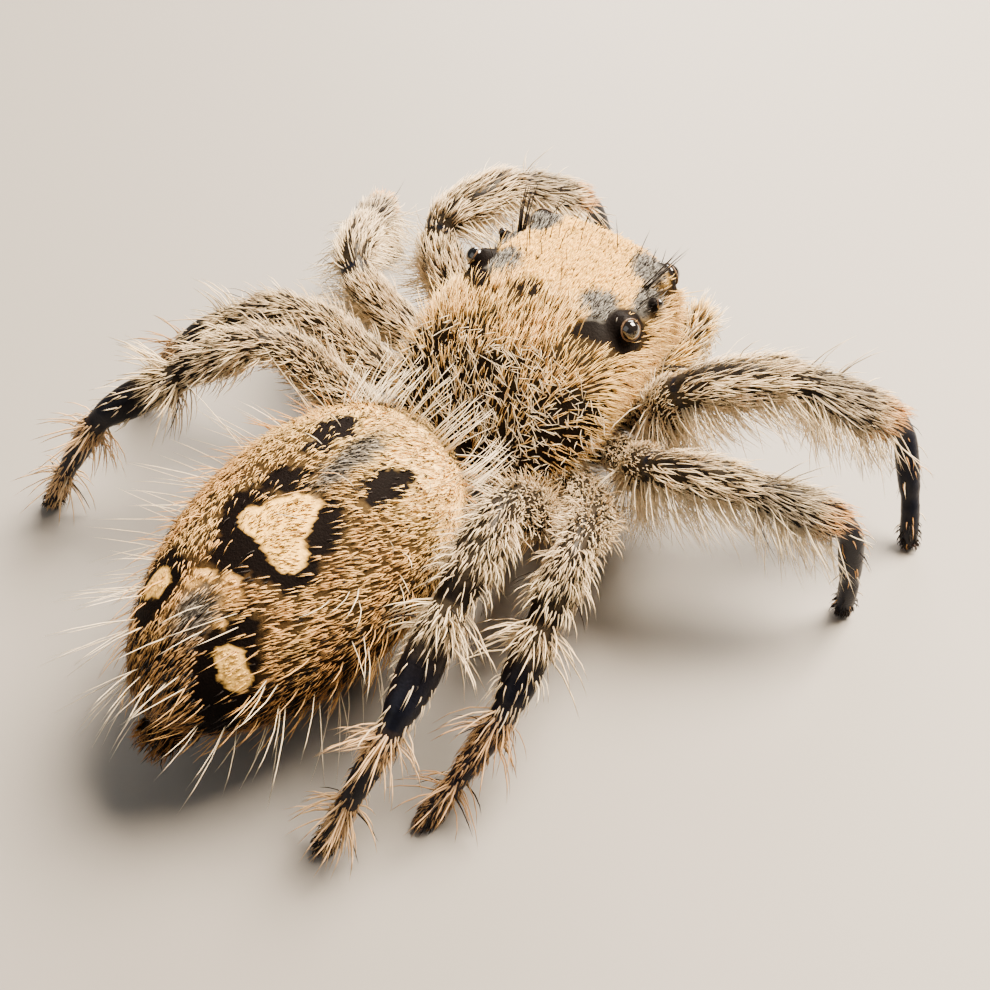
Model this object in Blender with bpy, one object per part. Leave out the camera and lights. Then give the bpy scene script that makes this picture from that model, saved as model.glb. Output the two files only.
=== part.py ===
"""Regal jumping spider, a still, life-size model of an adult female about 15 mm long.

The spider faces -Y and stands on the floor at z = 0, its right side at -X. Sizes are in millimetres
and are turned to metres where a mesh is made. Every part of the body is a closed solid of its own,
parted from its neighbours by a thin gap. The long hair is modelled as flat, tapered locks that are
joined to the part that they grow from.
"""

import math
import random

import bmesh
import bpy
from mathutils import Matrix, Vector
from mathutils.bvhtree import BVHTree

MM = 0.001

# Gaps between neighbouring solids
GAP = 0.3
EYE_GAP = 0.1

# Skin of the cephalothorax: y, half width, lowest and highest z, from the face to the waist
CARAPACE_STATIONS = (
    (-5.80, 1.50, 2.80, 4.22),
    (-5.58, 1.95, 2.40, 4.58),
    (-4.80, 2.15, 2.05, 4.76),
    (-3.60, 2.30, 1.80, 4.72),
    (-2.60, 2.42, 1.70, 4.44),
    (-1.60, 2.44, 1.66, 3.88),
    (-0.80, 2.20, 1.66, 3.20),
    (-0.25, 1.66, 1.68, 2.62),
    (0.00, 0.95, 1.78, 2.25),
)
CARAPACE_SQUARENESS = 2.6
CARAPACE_SIDES = 20

STERNUM_CENTRE = (0.0, -1.95, 1.05)
STERNUM_HALF = (0.72, 2.0, 0.30)
LABIUM_CENTRE = (0.0, -3.95, 1.10)
LABIUM_HALF = (0.32, 0.42, 0.24)
MAXILLA_CENTRE = (0.62, -4.55, 1.15)
MAXILLA_HALF = (0.30, 0.50, 0.30)

# Skin of the abdomen: an egg that hangs down a little at the rear
ABDOMEN_CENTRE = (0.0, 4.65, 2.68)
ABDOMEN_HALF = (2.42, 3.92, 2.05)
ABDOMEN_DROOP = 8.0
ABDOMEN_TAPER = 0.09

PEDICEL_RADIUS = 0.42
PEDICEL_ENDS = ((0.0, -0.30, 2.00), (0.0, 1.80, 2.00))

# Spinnerets: their base, and six cones in a ring that lean outwards and hang a little
SPINNERET_CENTRE = (0.0, 8.05, 1.62)
SPINNERET_BASE_HALF = (0.62, 0.50, 0.52)
SPINNERET_LENGTH = 0.80
SPINNERET_RADII = (0.25, 0.25, 0.15)
SPINNERET_SPREAD = 0.34
SPINNERET_LEAN = 0.3
SPINNERET_DROP = 0.18

# Eyes, left side: x, y, z of the centre and the radius
EYES = {
    "eye_front_middle": (0.55, -5.66, 3.98, 0.40),
    "eye_front_side": (1.70, -5.46, 4.30, 0.26),
    "eye_small": (2.10, -4.45, 4.34, 0.11),
    "eye_rear": (2.05, -3.40, 4.28, 0.24),
}
EYE_MOUND = 1.75
EYE_MOUND_SINK = 0.9
SMALLEST_MOUND = 0.2

# Mouthparts, left side
CHELICERA_STATIONS = (
    (2.95, 0.75, -5.15, 0.56, 0.48),
    (2.20, 0.78, -5.28, 0.60, 0.56),
    (1.60, 0.76, -5.38, 0.56, 0.54),
    (1.05, 0.72, -5.46, 0.44, 0.42),
    (0.88, 0.70, -5.48, 0.34, 0.32),
)
FANG_PATH = ((0.98, -5.56, 0.66), (0.80, -5.56, 0.46), (0.52, -5.50, 0.42), (0.28, -5.42, 0.50))
FANG_RADII = (0.25, 0.22, 0.15, 0.06)

PALP_PATH = (
    (1.55, -4.85, 1.62),
    (2.02, -5.70, 2.00),
    (2.02, -6.60, 2.45),
    (1.78, -7.10, 1.70),
    (1.60, -7.25, 0.95),
    (1.50, -7.20, 0.55),
)
PALP_RADII = (0.34, 0.40, 0.42, 0.40, 0.38, 0.26)

# Hips, from the first pair to the fourth: x and y of the trochanter
HIPS = ((2.10, -3.80), (2.38, -2.60), (2.38, -1.38), (2.02, -0.16))
HIP_Z = 1.52
COXA_INNER_X = 1.04
COXA_INNER_Z = 1.22
COXA_FAN = 0.86

# The pose: knee, ankle (between tibia and metatarsus) and foot of each leg
POSE = {
    "leg1_R": ((-3.64, -2.77, 3.92), (-7.45, -6.16, 2.52), (-8.51, -5.44, 0.0)),
    "leg2_R": ((-4.19, -0.89, 3.58), (-7.91, -2.83, 2.58), (-8.20, -2.93, 0.0)),
    "leg3_R": ((-4.37, 1.59, 3.70), (-4.88, 4.45, 1.90), (-4.41, 6.40, 0.0)),
    "leg4_R": ((-3.09, 2.15, 4.48), (-3.81, 6.26, 2.69), (-3.28, 7.91, 0.0)),
    "leg1_L": ((4.20, -4.35, 3.70), (2.70, -8.96, 2.46), (2.50, -9.90, 0.0)),
    "leg2_L": ((4.75, -2.00, 3.60), (6.90, -5.70, 2.40), (7.50, -6.50, 0.0)),
    "leg3_L": ((4.37, -0.17, 3.81), (7.28, 0.95, 2.02), (8.50, 1.80, 0.0)),
    "leg4_L": ((3.54, 1.48, 4.48), (6.22, 4.35, 2.69), (7.49, 5.42, 0.0)),
}
LEG_STOUTNESS = {"1": 1.12, "2": 1.0, "3": 0.95, "4": 1.0}
FEMUR_BOW = 0.38
FEMUR_BOW_LIE = (1.0, 0.0, -0.3)
SHIN_AT = 0.46
SHIN_BOW = {"1": 0.85, "2": 0.26, "3": 0.16, "4": 0.16}
TOE_AT = 0.62
TOE_BOW = 0.10

# Corners of a leg's centre line: how far each is rounded, and its least radius
CORNER_REACH = {1: 0.35, 2: 0.50, 3: 0.55, 4: 0.50, 5: 0.45, 6: 0.45}
BEND_RADIUS = {1: 0.45, 2: 0.65, 3: 0.85, 4: 0.55, 5: 0.55, 6: 0.35}

# Radius along each leg piece: fraction of its length, radius
COXA_RADII = ((0.0, 0.40), (0.6, 0.44), (1.0, 0.38))
FEMUR_RADII = ((0.0, 0.34), (0.40, 0.52), (0.75, 0.50), (1.0, 0.40))
TIBIA_RADII = ((0.0, 0.42), (0.20, 0.49), (0.44, 0.40), (0.68, 0.47), (1.0, 0.33))
TARSUS_RADII = ((0.0, 0.31), (0.30, 0.30), (0.62, 0.26), (1.0, 0.26))
LEG_SIDES = 8

# Locks: thickness and depth of the sunk root, and how a lock bends over towards its lie
LOCK_THICKNESS = 0.5
LOCK_SINK = 0.28
LOCK_TIP_REACH = 0.05
LOCK_STEPS = (0.30, 0.35, 0.35)
LOCK_RISE_SHARES = (1.0, 0.75, 0.45)
LOCK_TAPER = (1.0, 0.95, 0.62)
LOCK_SHORTER = (1.0, 0.8, 0.62)
FLOOR_CLEARANCE = 0.25
SEED = 7

# Coat of the abdomen: rows of lying locks, the ruff at its front edge, the bristles at its rim and rear
BACK_ROWS = (-0.62, -0.36, -0.10, 0.16, 0.42, 0.66, 0.86)
BACK_SPREAD = 118.0
BACK_SPACING = 1.65
BACK_LOCK = (1.75, 1.05, 17.0)
RUFF_AT = -0.80
RUFF_SPREAD = 108.0
RUFF_COUNT = 13
RUFF_LOCK = (1.35, 0.85, 62.0)
RIM_AT = (-0.50, -0.28, -0.06, 0.16, 0.38, 0.58, 0.76)
RIM_ANGLES = (62.0, 94.0)
RIM_LOCK = (1.25, 0.62, 50.0)
REAR_AT = 0.93
REAR_ANGLES = (-100.0, -60.0, -22.0, 22.0, 60.0, 100.0)

# Coat of the cephalothorax
THORAX_ROWS = (-0.75, -1.60, -2.45, -3.30, -4.15, -4.95)
THORAX_SPREAD = 112.0
THORAX_SPACING = 1.30
THORAX_LOCK = (1.05, 0.85, 24.0)
CROWN_FROM_Y = -2.9
CROWN_SPREAD = 52.0
BROW_ROOT = (1.80, -4.85, 4.60)
BROW_LIE = (0.28, -0.62, 0.52)
BROW_LOCK = (1.05, 0.52, 48.0)
BEARD_X = (-1.25, -0.62, 0.0, 0.62, 1.25)
BEARD_Z = 3.05
BEARD_LOCK = (0.75, 0.62, 42.0)

# Rings of locks on a leg: piece, fraction of its length, count, length, width, rise
LEG_RINGS = (
    ("_femur", 0.55, 4, 0.75, 0.62, 38.0),
    ("_tibia", 0.17, 5, 0.95, 0.66, 40.0),
    ("_tibia", 0.52, 5, 0.95, 0.62, 40.0),
    ("_tarsus", 0.24, 4, 0.80, 0.54, 40.0),
)
PALP_RINGS = (
    ("palp_upper", 0.60, 4, 0.70, 0.60, 40.0),
    ("palp_lower", 0.30, 4, 0.70, 0.60, 36.0),
    ("palp_lower", 0.62, 4, 0.60, 0.55, 30.0),
)

FINISHES = {
    # name: colour (linear), roughness
    "cream_fur": ((0.55, 0.38, 0.22), 0.8),
    "tan_fur": ((0.36, 0.22, 0.12), 0.8),
    "leg_fur": ((0.30, 0.22, 0.15), 0.8),
    "dark_cuticle": ((0.012, 0.010, 0.014), 0.35),
    "brown_cuticle": ((0.09, 0.045, 0.022), 0.4),
    "eye_glass": ((0.003, 0.003, 0.004), 0.05),
}


def make_finishes():
    """A Principled material for each finish."""
    made = {}
    for name, (colour, roughness) in FINISHES.items():
        material = bpy.data.materials.new(name)
        material.use_nodes = True
        shader = material.node_tree.nodes["Principled BSDF"]
        shader.inputs["Base Color"].default_value = (*colour, 1.0)
        shader.inputs["Roughness"].default_value = roughness
        shader.inputs["Metallic"].default_value = 0.0
        made[name] = material
    return made


def clear_scene():
    for thing in list(bpy.data.objects):
        bpy.data.objects.remove(thing, do_unlink=True)


def mirrored(point, side):
    """A left-side place, moved to the side asked for: 1 is left, -1 is right."""
    return Vector((side * point[0], point[1], point[2]))


def object_from(name, mesh_data):
    """An object from a bmesh in millimetres, linked to the scene in metres."""
    bmesh.ops.scale(mesh_data, vec=(MM, MM, MM), verts=mesh_data.verts)
    bmesh.ops.recalc_face_normals(mesh_data, faces=mesh_data.faces)
    mesh = bpy.data.meshes.new(name)
    mesh_data.to_mesh(mesh)
    mesh_data.free()
    thing = bpy.data.objects.new(name, mesh)
    SPIDER.objects.link(thing)
    return thing


def loft(name, rings):
    """A closed solid through rings of points that all have the same count."""
    mesh_data = bmesh.new()
    loops = [[mesh_data.verts.new(point) for point in ring] for ring in rings]
    for low, high in zip(loops, loops[1:]):
        for k in range(len(low)):
            following = (k + 1) % len(low)
            mesh_data.faces.new((low[k], low[following], high[following], high[k]))
    mesh_data.faces.new(list(reversed(loops[0])))
    mesh_data.faces.new(loops[-1])
    return object_from(name, mesh_data)


def ellipsoid(name, centre, half, segments=16, rings=10):
    """A round body from a UV sphere."""
    mesh_data = bmesh.new()
    bmesh.ops.create_uvsphere(mesh_data, u_segments=segments, v_segments=rings, radius=1.0)
    bmesh.ops.scale(mesh_data, vec=half, verts=mesh_data.verts)
    bmesh.ops.translate(mesh_data, vec=centre, verts=mesh_data.verts)
    return object_from(name, mesh_data)


def squared(value, squareness):
    """The coordinate of a superellipse that is boxier than a circle."""
    return math.copysign(abs(value) ** (2.0 / squareness), value)


def section(y, half_width, low, high):
    """One upright cross-section of the cephalothorax."""
    ring = []
    for k in range(CARAPACE_SIDES):
        angle = 2.0 * math.pi * (k + 0.5) / CARAPACE_SIDES
        x = half_width * squared(math.cos(angle), CARAPACE_SQUARENESS)
        z = (low + high) / 2.0 + (high - low) / 2.0 * squared(math.sin(angle), CARAPACE_SQUARENESS)
        ring.append((x, y, z))
    return ring


def frames_along(points, tangents):
    """A side vector for each point, carried along the path without twist."""
    start = Vector((0.0, 0.0, 1.0))
    if abs(tangents[0].dot(start)) > 0.9:
        start = Vector((0.0, 1.0, 0.0))
    side = tangents[0].cross(start).normalized()
    sides = []
    for tangent in tangents:
        side = (side - tangent * side.dot(tangent)).normalized()
        sides.append(side)
    return sides


def tube(name, points, tangents, radii, count):
    """A solid of round section along a path, which is kept for the locks that grow from it."""
    AXES[name] = points
    rings = []
    for point, tangent, side, radius in zip(points, tangents, frames_along(points, tangents), radii):
        other = tangent.cross(side)
        ring = []
        for k in range(count):
            angle = 2.0 * math.pi * k / count
            ring.append(point + (side * math.cos(angle) + other * math.sin(angle)) * radius)
        rings.append(ring)
    return loft(name, rings)


def path_tangents(points):
    """The direction of travel at each point of a path."""
    tangents = []
    for k in range(len(points)):
        before = points[max(k - 1, 0)]
        after = points[min(k + 1, len(points) - 1)]
        tangents.append((after - before).normalized())
    return tangents


def interpolate(profile, fraction):
    """The value of a (fraction, value) profile at one fraction."""
    for (low, low_value), (high, high_value) in zip(profile, profile[1:]):
        if fraction <= high:
            share = (fraction - low) / (high - low)
            return low_value + share * (high_value - low_value)
    return profile[-1][1]


def largest_body(mesh):
    """Delete all but the largest closed surface of a mesh."""
    mesh_data = bmesh.new()
    mesh_data.from_mesh(mesh)
    left = set(mesh_data.faces)
    bodies = []
    while left:
        body = set()
        front = [left.pop()]
        while front:
            face = front.pop()
            body.add(face)
            for edge in face.edges:
                for neighbour in edge.link_faces:
                    if neighbour in left:
                        left.remove(neighbour)
                        front.append(neighbour)
        bodies.append(body)

    def enclosed(body):
        total = 0.0
        for face in body:
            corners = [vertex.co for vertex in face.verts]
            for second, third in zip(corners[1:], corners[2:]):
                total += corners[0].dot(second.cross(third))
        return abs(total)

    keep = max(bodies, key=enclosed)
    spare = [face for face in mesh_data.faces if face not in keep]
    bmesh.ops.delete(mesh_data, geom=spare, context="FACES")
    mesh_data.to_mesh(mesh)
    mesh_data.free()


def combine(target, pieces, operation):
    """Join the pieces to target or cut them from it, then remove them."""
    if not pieces:
        return
    group = bpy.data.collections.new("operands")
    bpy.context.scene.collection.children.link(group)
    for piece in pieces:
        for home in list(piece.users_collection):
            home.objects.unlink(piece)
        group.objects.link(piece)
    modifier = target.modifiers.new("combine", "BOOLEAN")
    modifier.operand_type = "COLLECTION"
    modifier.collection = group
    modifier.operation = operation
    modifier.solver = "EXACT"
    bpy.context.view_layer.update()
    depsgraph = bpy.context.evaluated_depsgraph_get()
    mesh = bpy.data.meshes.new_from_object(target.evaluated_get(depsgraph))
    mesh.name = target.name
    target.modifiers.remove(modifier)
    target.data = mesh
    largest_body(mesh)
    for piece in pieces:
        bpy.data.objects.remove(piece, do_unlink=True)
    bpy.data.collections.remove(group)


def cut_clear(thing, swollen_neighbours):
    """Cut a solid back from swollen copies of its neighbours."""
    combine(thing, swollen_neighbours, "DIFFERENCE")


def carapace_form(name, extra=0.0):
    """The smooth form of the cephalothorax, swollen by extra."""
    rings = []
    last = len(CARAPACE_STATIONS) - 1
    for k, (y, half_width, low, high) in enumerate(CARAPACE_STATIONS):
        shift = {0: -extra, last: extra}.get(k, 0.0)
        rings.append(section(y + shift, half_width + extra, low - extra, high + extra))
    return loft(name, rings)


def make_carapace():
    body = carapace_form("carapace")
    mounds = []
    sockets = []
    for x, y, z, radius in EYES.values():
        for side in (1, -1):
            centre = mirrored((x, y, z), side)
            inward = Vector((-centre.x, -2.5 - centre.y, 3.0 - centre.z)).normalized()
            swell = radius * EYE_MOUND
            if radius > SMALLEST_MOUND:
                mounds.append(ellipsoid("mound", centre + inward * radius * EYE_MOUND_SINK, (swell,) * 3, 10, 6))
            hollow = radius + EYE_GAP
            sockets.append(ellipsoid("socket", centre, (hollow,) * 3, 12, 7))
    combine(body, mounds, "UNION")
    combine(body, sockets, "DIFFERENCE")
    return body


def sternum_form(name, extra=0.0):
    return ellipsoid(name, STERNUM_CENTRE, [half + extra for half in STERNUM_HALF], 14, 8)


def make_sternum():
    body = sternum_form("sternum")
    lip = ellipsoid("labium", LABIUM_CENTRE, LABIUM_HALF, 10, 6)
    combine(body, [lip], "UNION")
    return body


def egg_place(unit, extra=0.0):
    """A point of the unit sphere, moved to the skin of the abdomen."""
    taper = 1.0 - ABDOMEN_TAPER * unit.y
    half_x, half_y, half_z = (half + extra for half in ABDOMEN_HALF)
    place = Vector((unit.x * taper * half_x, unit.y * half_y, unit.z * taper * half_z))
    place.rotate(Matrix.Rotation(math.radians(-ABDOMEN_DROOP), 3, "X"))
    return place + Vector(ABDOMEN_CENTRE)


def egg_point(along, angle):
    """A place on the abdomen: along runs from -1 in front to 1 behind, the angle in degrees from the top."""
    radius = math.sqrt(1.0 - along * along)
    turn = math.radians(angle)
    return egg_place(Vector((radius * math.sin(turn), along, radius * math.cos(turn))))


def abdomen_form(name, extra=0.0):
    """The egg of the abdomen, swollen by extra."""
    mesh_data = bmesh.new()
    bmesh.ops.create_uvsphere(mesh_data, u_segments=20, v_segments=15, radius=1.0)
    bmesh.ops.rotate(mesh_data, cent=(0, 0, 0), matrix=Matrix.Rotation(math.pi / 2, 3, "X"), verts=mesh_data.verts)
    for vertex in mesh_data.verts:
        vertex.co = egg_place(vertex.co, extra)
    return object_from(name, mesh_data)


def make_pedicel():
    points = [Vector(point) for point in PEDICEL_ENDS]
    radii = [PEDICEL_RADIUS] * len(points)
    return tube("pedicel", points, path_tangents(points), radii, 12)


def make_spinnerets():
    """Three pairs of short cones on one base, pointing back and down."""
    body = ellipsoid("spinnerets", SPINNERET_CENTRE, SPINNERET_BASE_HALF, 12, 7)
    cones = []
    for k in range(6):
        angle = math.radians(30 + 60 * k)
        offset = Vector((math.cos(angle), 0.0, math.sin(angle))) * SPINNERET_SPREAD
        start = Vector(SPINNERET_CENTRE) + offset * 0.8
        end = start + offset * SPINNERET_LEAN + Vector((0.0, SPINNERET_LENGTH, -SPINNERET_DROP))
        points = [start, start.lerp(end, 0.6), end]
        cones.append(tube("cone", points, path_tangents(points), SPINNERET_RADII, 6))
    combine(body, cones, "UNION")
    return body


def make_eyes(side, mark):
    made = []
    for name, (x, y, z, radius) in EYES.items():
        segments = 14 if radius > 0.3 else 10
        made.append(ellipsoid(name + mark, mirrored((x, y, z), side), (radius,) * 3, segments, segments // 2 + 1))
    return made


def chelicera_form(name, side, extra=0.0):
    """One jaw, swollen by extra."""
    rings = []
    last = len(CHELICERA_STATIONS) - 1
    for station, (z, x, y, half_x, half_y) in enumerate(CHELICERA_STATIONS):
        z += {0: extra, last: -extra}.get(station, 0.0)
        half_x += extra
        half_y += extra
        ring = []
        for k in range(12):
            angle = 2.0 * math.pi * k / 12
            place = (x + half_x * math.cos(angle), y + half_y * math.sin(angle), z)
            ring.append(mirrored(place, side))
        rings.append(ring)
    return loft(name, rings)


def make_fang(side, mark):
    points = [mirrored(place, side) for place in FANG_PATH]
    return tube("fang" + mark, points, path_tangents(points), FANG_RADII, 8)


def maxilla_form(name, side, extra=0.0):
    return ellipsoid(name, mirrored(MAXILLA_CENTRE, side), [half + extra for half in MAXILLA_HALF], 10, 6)


def make_palp(side, mark):
    """The palp in two pieces, parted at its highest bend."""
    points = [mirrored(place, side) for place in PALP_PATH]
    tangents = path_tangents(points)
    bend = 2
    step = tangents[bend] * GAP / 2.0
    upper = points[:bend] + [points[bend] - step]
    lower = [points[bend] + step] + points[bend + 1 :]
    return [
        tube("palp_upper" + mark, upper, tangents[: bend + 1], PALP_RADII[: bend + 1], LEG_SIDES),
        tube("palp_lower" + mark, lower, tangents[bend:], PALP_RADII[bend:], LEG_SIDES),
    ]


def leg_corners(name):
    """The corners of a leg's centre line, from the breast plate to the foot."""
    side = 1 if name.endswith("L") else -1
    number = int(name[3])
    hip_x, hip_y = HIPS[number - 1]
    hip = mirrored((hip_x, hip_y, HIP_Z), side)
    inner_y = STERNUM_CENTRE[1] + (hip_y - STERNUM_CENTRE[1]) * COXA_FAN
    inner = mirrored((COXA_INNER_X, inner_y, COXA_INNER_Z), side)
    knee, ankle, foot = (Vector(place) for place in POSE[name])
    outward = mirrored(FEMUR_BOW_LIE, side).normalized()
    femur_middle = hip.lerp(knee, 0.5) + outward * FEMUR_BOW
    shin = knee.lerp(ankle, SHIN_AT) + Vector((0.0, 0.0, SHIN_BOW[name[3]]))
    away = Vector((foot.x - hip.x, foot.y - hip.y, 0.0)).normalized()
    toe = ankle.lerp(foot, TOE_AT) + away * TOE_BOW
    return [inner, hip, femur_middle, knee, shin, ankle, toe, foot]


def corner_stations(corners, k):
    """Start, middle and end of the rounded bend at one corner, with their directions.

    The reach is long enough that the inside of the bend doesn't fold over itself.
    """
    arriving = (corners[k] - corners[k - 1]).normalized()
    leaving = (corners[k + 1] - corners[k]).normalized()
    half_bend = arriving.angle(leaving) / 2.0
    needed = BEND_RADIUS[k] * math.sin(half_bend) / math.cos(half_bend) ** 2
    shortest = min((corners[k] - corners[k - 1]).length, (corners[k + 1] - corners[k]).length)
    reach = min(max(CORNER_REACH[k], needed), 0.58 * shortest)
    start = corners[k] - arriving * reach
    end = corners[k] + leaving * reach
    middle = (start + corners[k] * 2.0 + end) / 4.0
    return (start, arriving), (middle, (arriving + leaving).normalized()), (end, leaving)


def leg_piece(name, corners, first, last, profile, stoutness, extra=0.0):
    """One solid of a leg, between two corners of its centre line, swollen by extra."""
    stations = []
    if first == 0:
        stations.append((corners[0], (corners[1] - corners[0]).normalized()))
    else:
        middle, end = corner_stations(corners, first)[1:]
        stations += [(middle[0] + middle[1] * GAP / 2.0, middle[1]), end]
    for k in range(first + 1, last):
        stations += corner_stations(corners, k)
    if last == len(corners) - 1:
        down = Vector((0.0, 0.0, -1.0))
        stations.append((corners[last], down))
    else:
        start, middle = corner_stations(corners, last)[:2]
        stations += [start, (middle[0] - middle[1] * GAP / 2.0, middle[1])]
    points = [point for point, tangent in stations]
    tangents = [tangent for point, tangent in stations]
    runs = [0.0]
    for before, after in zip(points, points[1:]):
        runs.append(runs[-1] + (after - before).length)
    radii = [interpolate(profile, run / runs[-1]) * stoutness + extra for run in runs]
    points[0] = points[0] - tangents[0] * extra
    points[-1] = points[-1] + tangents[-1] * extra
    return tube(name, points, tangents, radii, LEG_SIDES)


def make_leg(name):
    corners = leg_corners(name)
    stoutness = LEG_STOUTNESS[name[3]]
    return [
        leg_piece(name + "_coxa", corners, 0, 1, COXA_RADII, 1.0),
        leg_piece(name + "_femur", corners, 1, 3, FEMUR_RADII, stoutness),
        leg_piece(name + "_tibia", corners, 3, 5, TIBIA_RADII, stoutness),
        leg_piece(name + "_tarsus", corners, 5, 7, TARSUS_RADII, 1.0),
    ]


def skin_tree(thing):
    """A search tree over a solid's surface, in millimetres."""
    places = [vertex.co / MM for vertex in thing.data.vertices]
    return BVHTree.FromPolygons(places, [tuple(face.vertices) for face in thing.data.polygons])


def lock_line(root, normal, lie, rise, length):
    """The centre line of a lock: its sunk root, then steps that bend over towards its lie."""
    along = (lie - normal * lie.dot(normal)).normalized()
    points = [root - normal * LOCK_SINK - along * 0.1]
    place = root.copy()
    for step, share in zip(LOCK_STEPS, LOCK_RISE_SHARES):
        angle = math.radians(rise * share)
        place = place + (along * math.cos(angle) + normal * math.sin(angle)) * step * length
        points.append(place.copy())
    return points, along.cross(normal)


def lock_solid(points, side, width):
    """A flat lock with a four-sided section that tapers to a point."""
    mesh_data = bmesh.new()
    loops = []
    for k, taper in enumerate(LOCK_TAPER):
        direction = (points[k + 1] - points[k]).normalized()
        across = side * (width / 2.0 * taper)
        through = side.cross(direction).normalized() * (LOCK_THICKNESS / 2.0 * taper)
        centre = points[k]
        ring = (centre + across + through, centre - across + through, centre - across - through, centre + across - through)
        loops.append([mesh_data.verts.new(corner) for corner in ring])
    tip = mesh_data.verts.new(points[-1])
    for low, high in zip(loops, loops[1:]):
        for k in range(4):
            mesh_data.faces.new((low[k], low[(k + 1) % 4], high[(k + 1) % 4], high[k]))
    for k in range(4):
        mesh_data.faces.new((loops[-1][k], loops[-1][(k + 1) % 4], tip))
    mesh_data.faces.new(list(reversed(loops[0])))
    return object_from("lock", mesh_data)


def lock_samples(points, width):
    """Balls that stand for a lock when its distance to other solids is measured."""
    samples = []
    for start, end, reach in zip(points[1:], points[2:], (width * 0.50, width * 0.38)):
        for share in (0.0, 0.5):
            samples.append((start.lerp(end, share), reach))
    samples.append((points[-1], LOCK_TIP_REACH))
    return samples


def is_clear(owner, samples):
    """Whether a lock keeps off the floor, the other nodes and the other nodes' locks."""
    for point, reach in samples:
        if point.z - reach < FLOOR_CLEARANCE:
            return False
        for name, tree in TREES.items():
            if name == owner:
                continue
            place, normal, _, distance = tree.find_nearest(point, 1.5)
            if place is not None and (distance < reach + GAP or (point - place).dot(normal) < 0.0):
                return False
        for name, other, other_reach in TAKEN:
            if name != owner and (point - other).length < reach + other_reach + GAP:
                return False
    return True


def grow_locks(thing, wanted):
    """Join locks to a node, each as long as its neighbours leave room for."""
    locks = []
    for aim, lie, length, width, rise in wanted:
        root, normal, _, _ = TREES[thing.name].find_nearest(aim)
        length *= DRAW.uniform(0.88, 1.12)
        rise += DRAW.uniform(-5.0, 5.0)
        turn = Matrix.Rotation(math.radians(DRAW.uniform(-9.0, 9.0)), 3, normal)
        for share in LOCK_SHORTER:
            points, side = lock_line(root, normal, turn @ lie, rise, length * share)
            samples = lock_samples(points, width)
            if is_clear(thing.name, samples):
                locks.append(lock_solid(points, side, width))
                TAKEN.extend((thing.name, point, reach) for point, reach in samples)
                break
    combine(thing, locks, "UNION")


def abdomen_locks():
    wanted = []
    backwards = Vector((0.0, 1.0, 0.0))
    length, width, rise = BACK_LOCK
    for row, along in enumerate(BACK_ROWS):
        girth = 2.0 * ABDOMEN_HALF[0] * math.sqrt(1.0 - along * along) * math.radians(BACK_SPREAD)
        count = max(3, round(girth / BACK_SPACING))
        for k in range(count):
            angle = BACK_SPREAD * (2.0 * (k + 0.5 + 0.25 * (-1) ** row) / count - 1.0)
            wanted.append((egg_point(along, angle), backwards, length, width, rise))
    length, width, rise = RUFF_LOCK
    for k in range(RUFF_COUNT):
        angle = RUFF_SPREAD * (2.0 * k / (RUFF_COUNT - 1) - 1.0)
        wanted.append((egg_point(RUFF_AT, angle), -backwards, length, width, rise))
    length, width, rise = RIM_LOCK
    for k, along in enumerate(RIM_AT):
        for side in (1, -1):
            wanted.append((egg_point(along, side * RIM_ANGLES[k % 2]), backwards, length, width, rise))
    for angle in REAR_ANGLES:
        wanted.append((egg_point(REAR_AT, angle), backwards, length, width, rise))
    return wanted


def carapace_locks():
    wanted = []
    forwards = Vector((0.0, -1.0, 0.15))
    length, width, rise = THORAX_LOCK
    for row, y in enumerate(THORAX_ROWS):
        half_width, low, high = (
            interpolate([(station[0], station[k]) for station in CARAPACE_STATIONS], y) for k in (1, 2, 3)
        )
        count = round((half_width + (high - low) / 2.0) * math.radians(THORAX_SPREAD) / THORAX_SPACING)
        for k in range(count):
            angle = THORAX_SPREAD * (2.0 * (k + 0.5 + 0.2 * (-1) ** row) / count - 1.0)
            if y < CROWN_FROM_Y and abs(angle) < CROWN_SPREAD:
                continue
            turn = math.radians(angle)
            aim = Vector((half_width * math.sin(turn), y, (low + high) / 2.0 + (high - low) / 2.0 * math.cos(turn)))
            wanted.append((aim, forwards, length, width, rise))
    length, width, rise = BROW_LOCK
    for side in (1, -1):
        wanted.append((mirrored(BROW_ROOT, side), mirrored(BROW_LIE, side), length, width, rise))
    length, width, rise = BEARD_LOCK
    for x in BEARD_X:
        wanted.append((Vector((x, -6.0, BEARD_Z)), Vector((0.0, 0.0, -1.0)), length, width, rise))
    return wanted


def ring_locks(name, fraction, count, length, width, rise):
    """Locks in a ring round a leg or palp, lying towards its far end."""
    points = AXES[name]
    runs = [0.0]
    for before, after in zip(points, points[1:]):
        runs.append(runs[-1] + (after - before).length)
    target = fraction * runs[-1]
    k = max(k for k in range(len(points) - 1) if runs[k] <= target)
    centre = points[k].lerp(points[k + 1], (target - runs[k]) / (runs[k + 1] - runs[k]))
    tangent = (points[k + 1] - points[k]).normalized()
    side = frames_along([centre], [tangent])[0]
    other = tangent.cross(side)
    wanted = []
    for step in range(count):
        angle = 2.0 * math.pi * (step + fraction) / count
        aim = centre + side * math.cos(angle) + other * math.sin(angle)
        wanted.append((aim, tangent, length, width, rise))
    return wanted


def give_finish(thing, material):
    thing.data.materials.clear()
    thing.data.materials.append(material)
    thing.data.shade_smooth()
    thing.data.set_sharp_from_angle(angle=math.radians(40))


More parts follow.
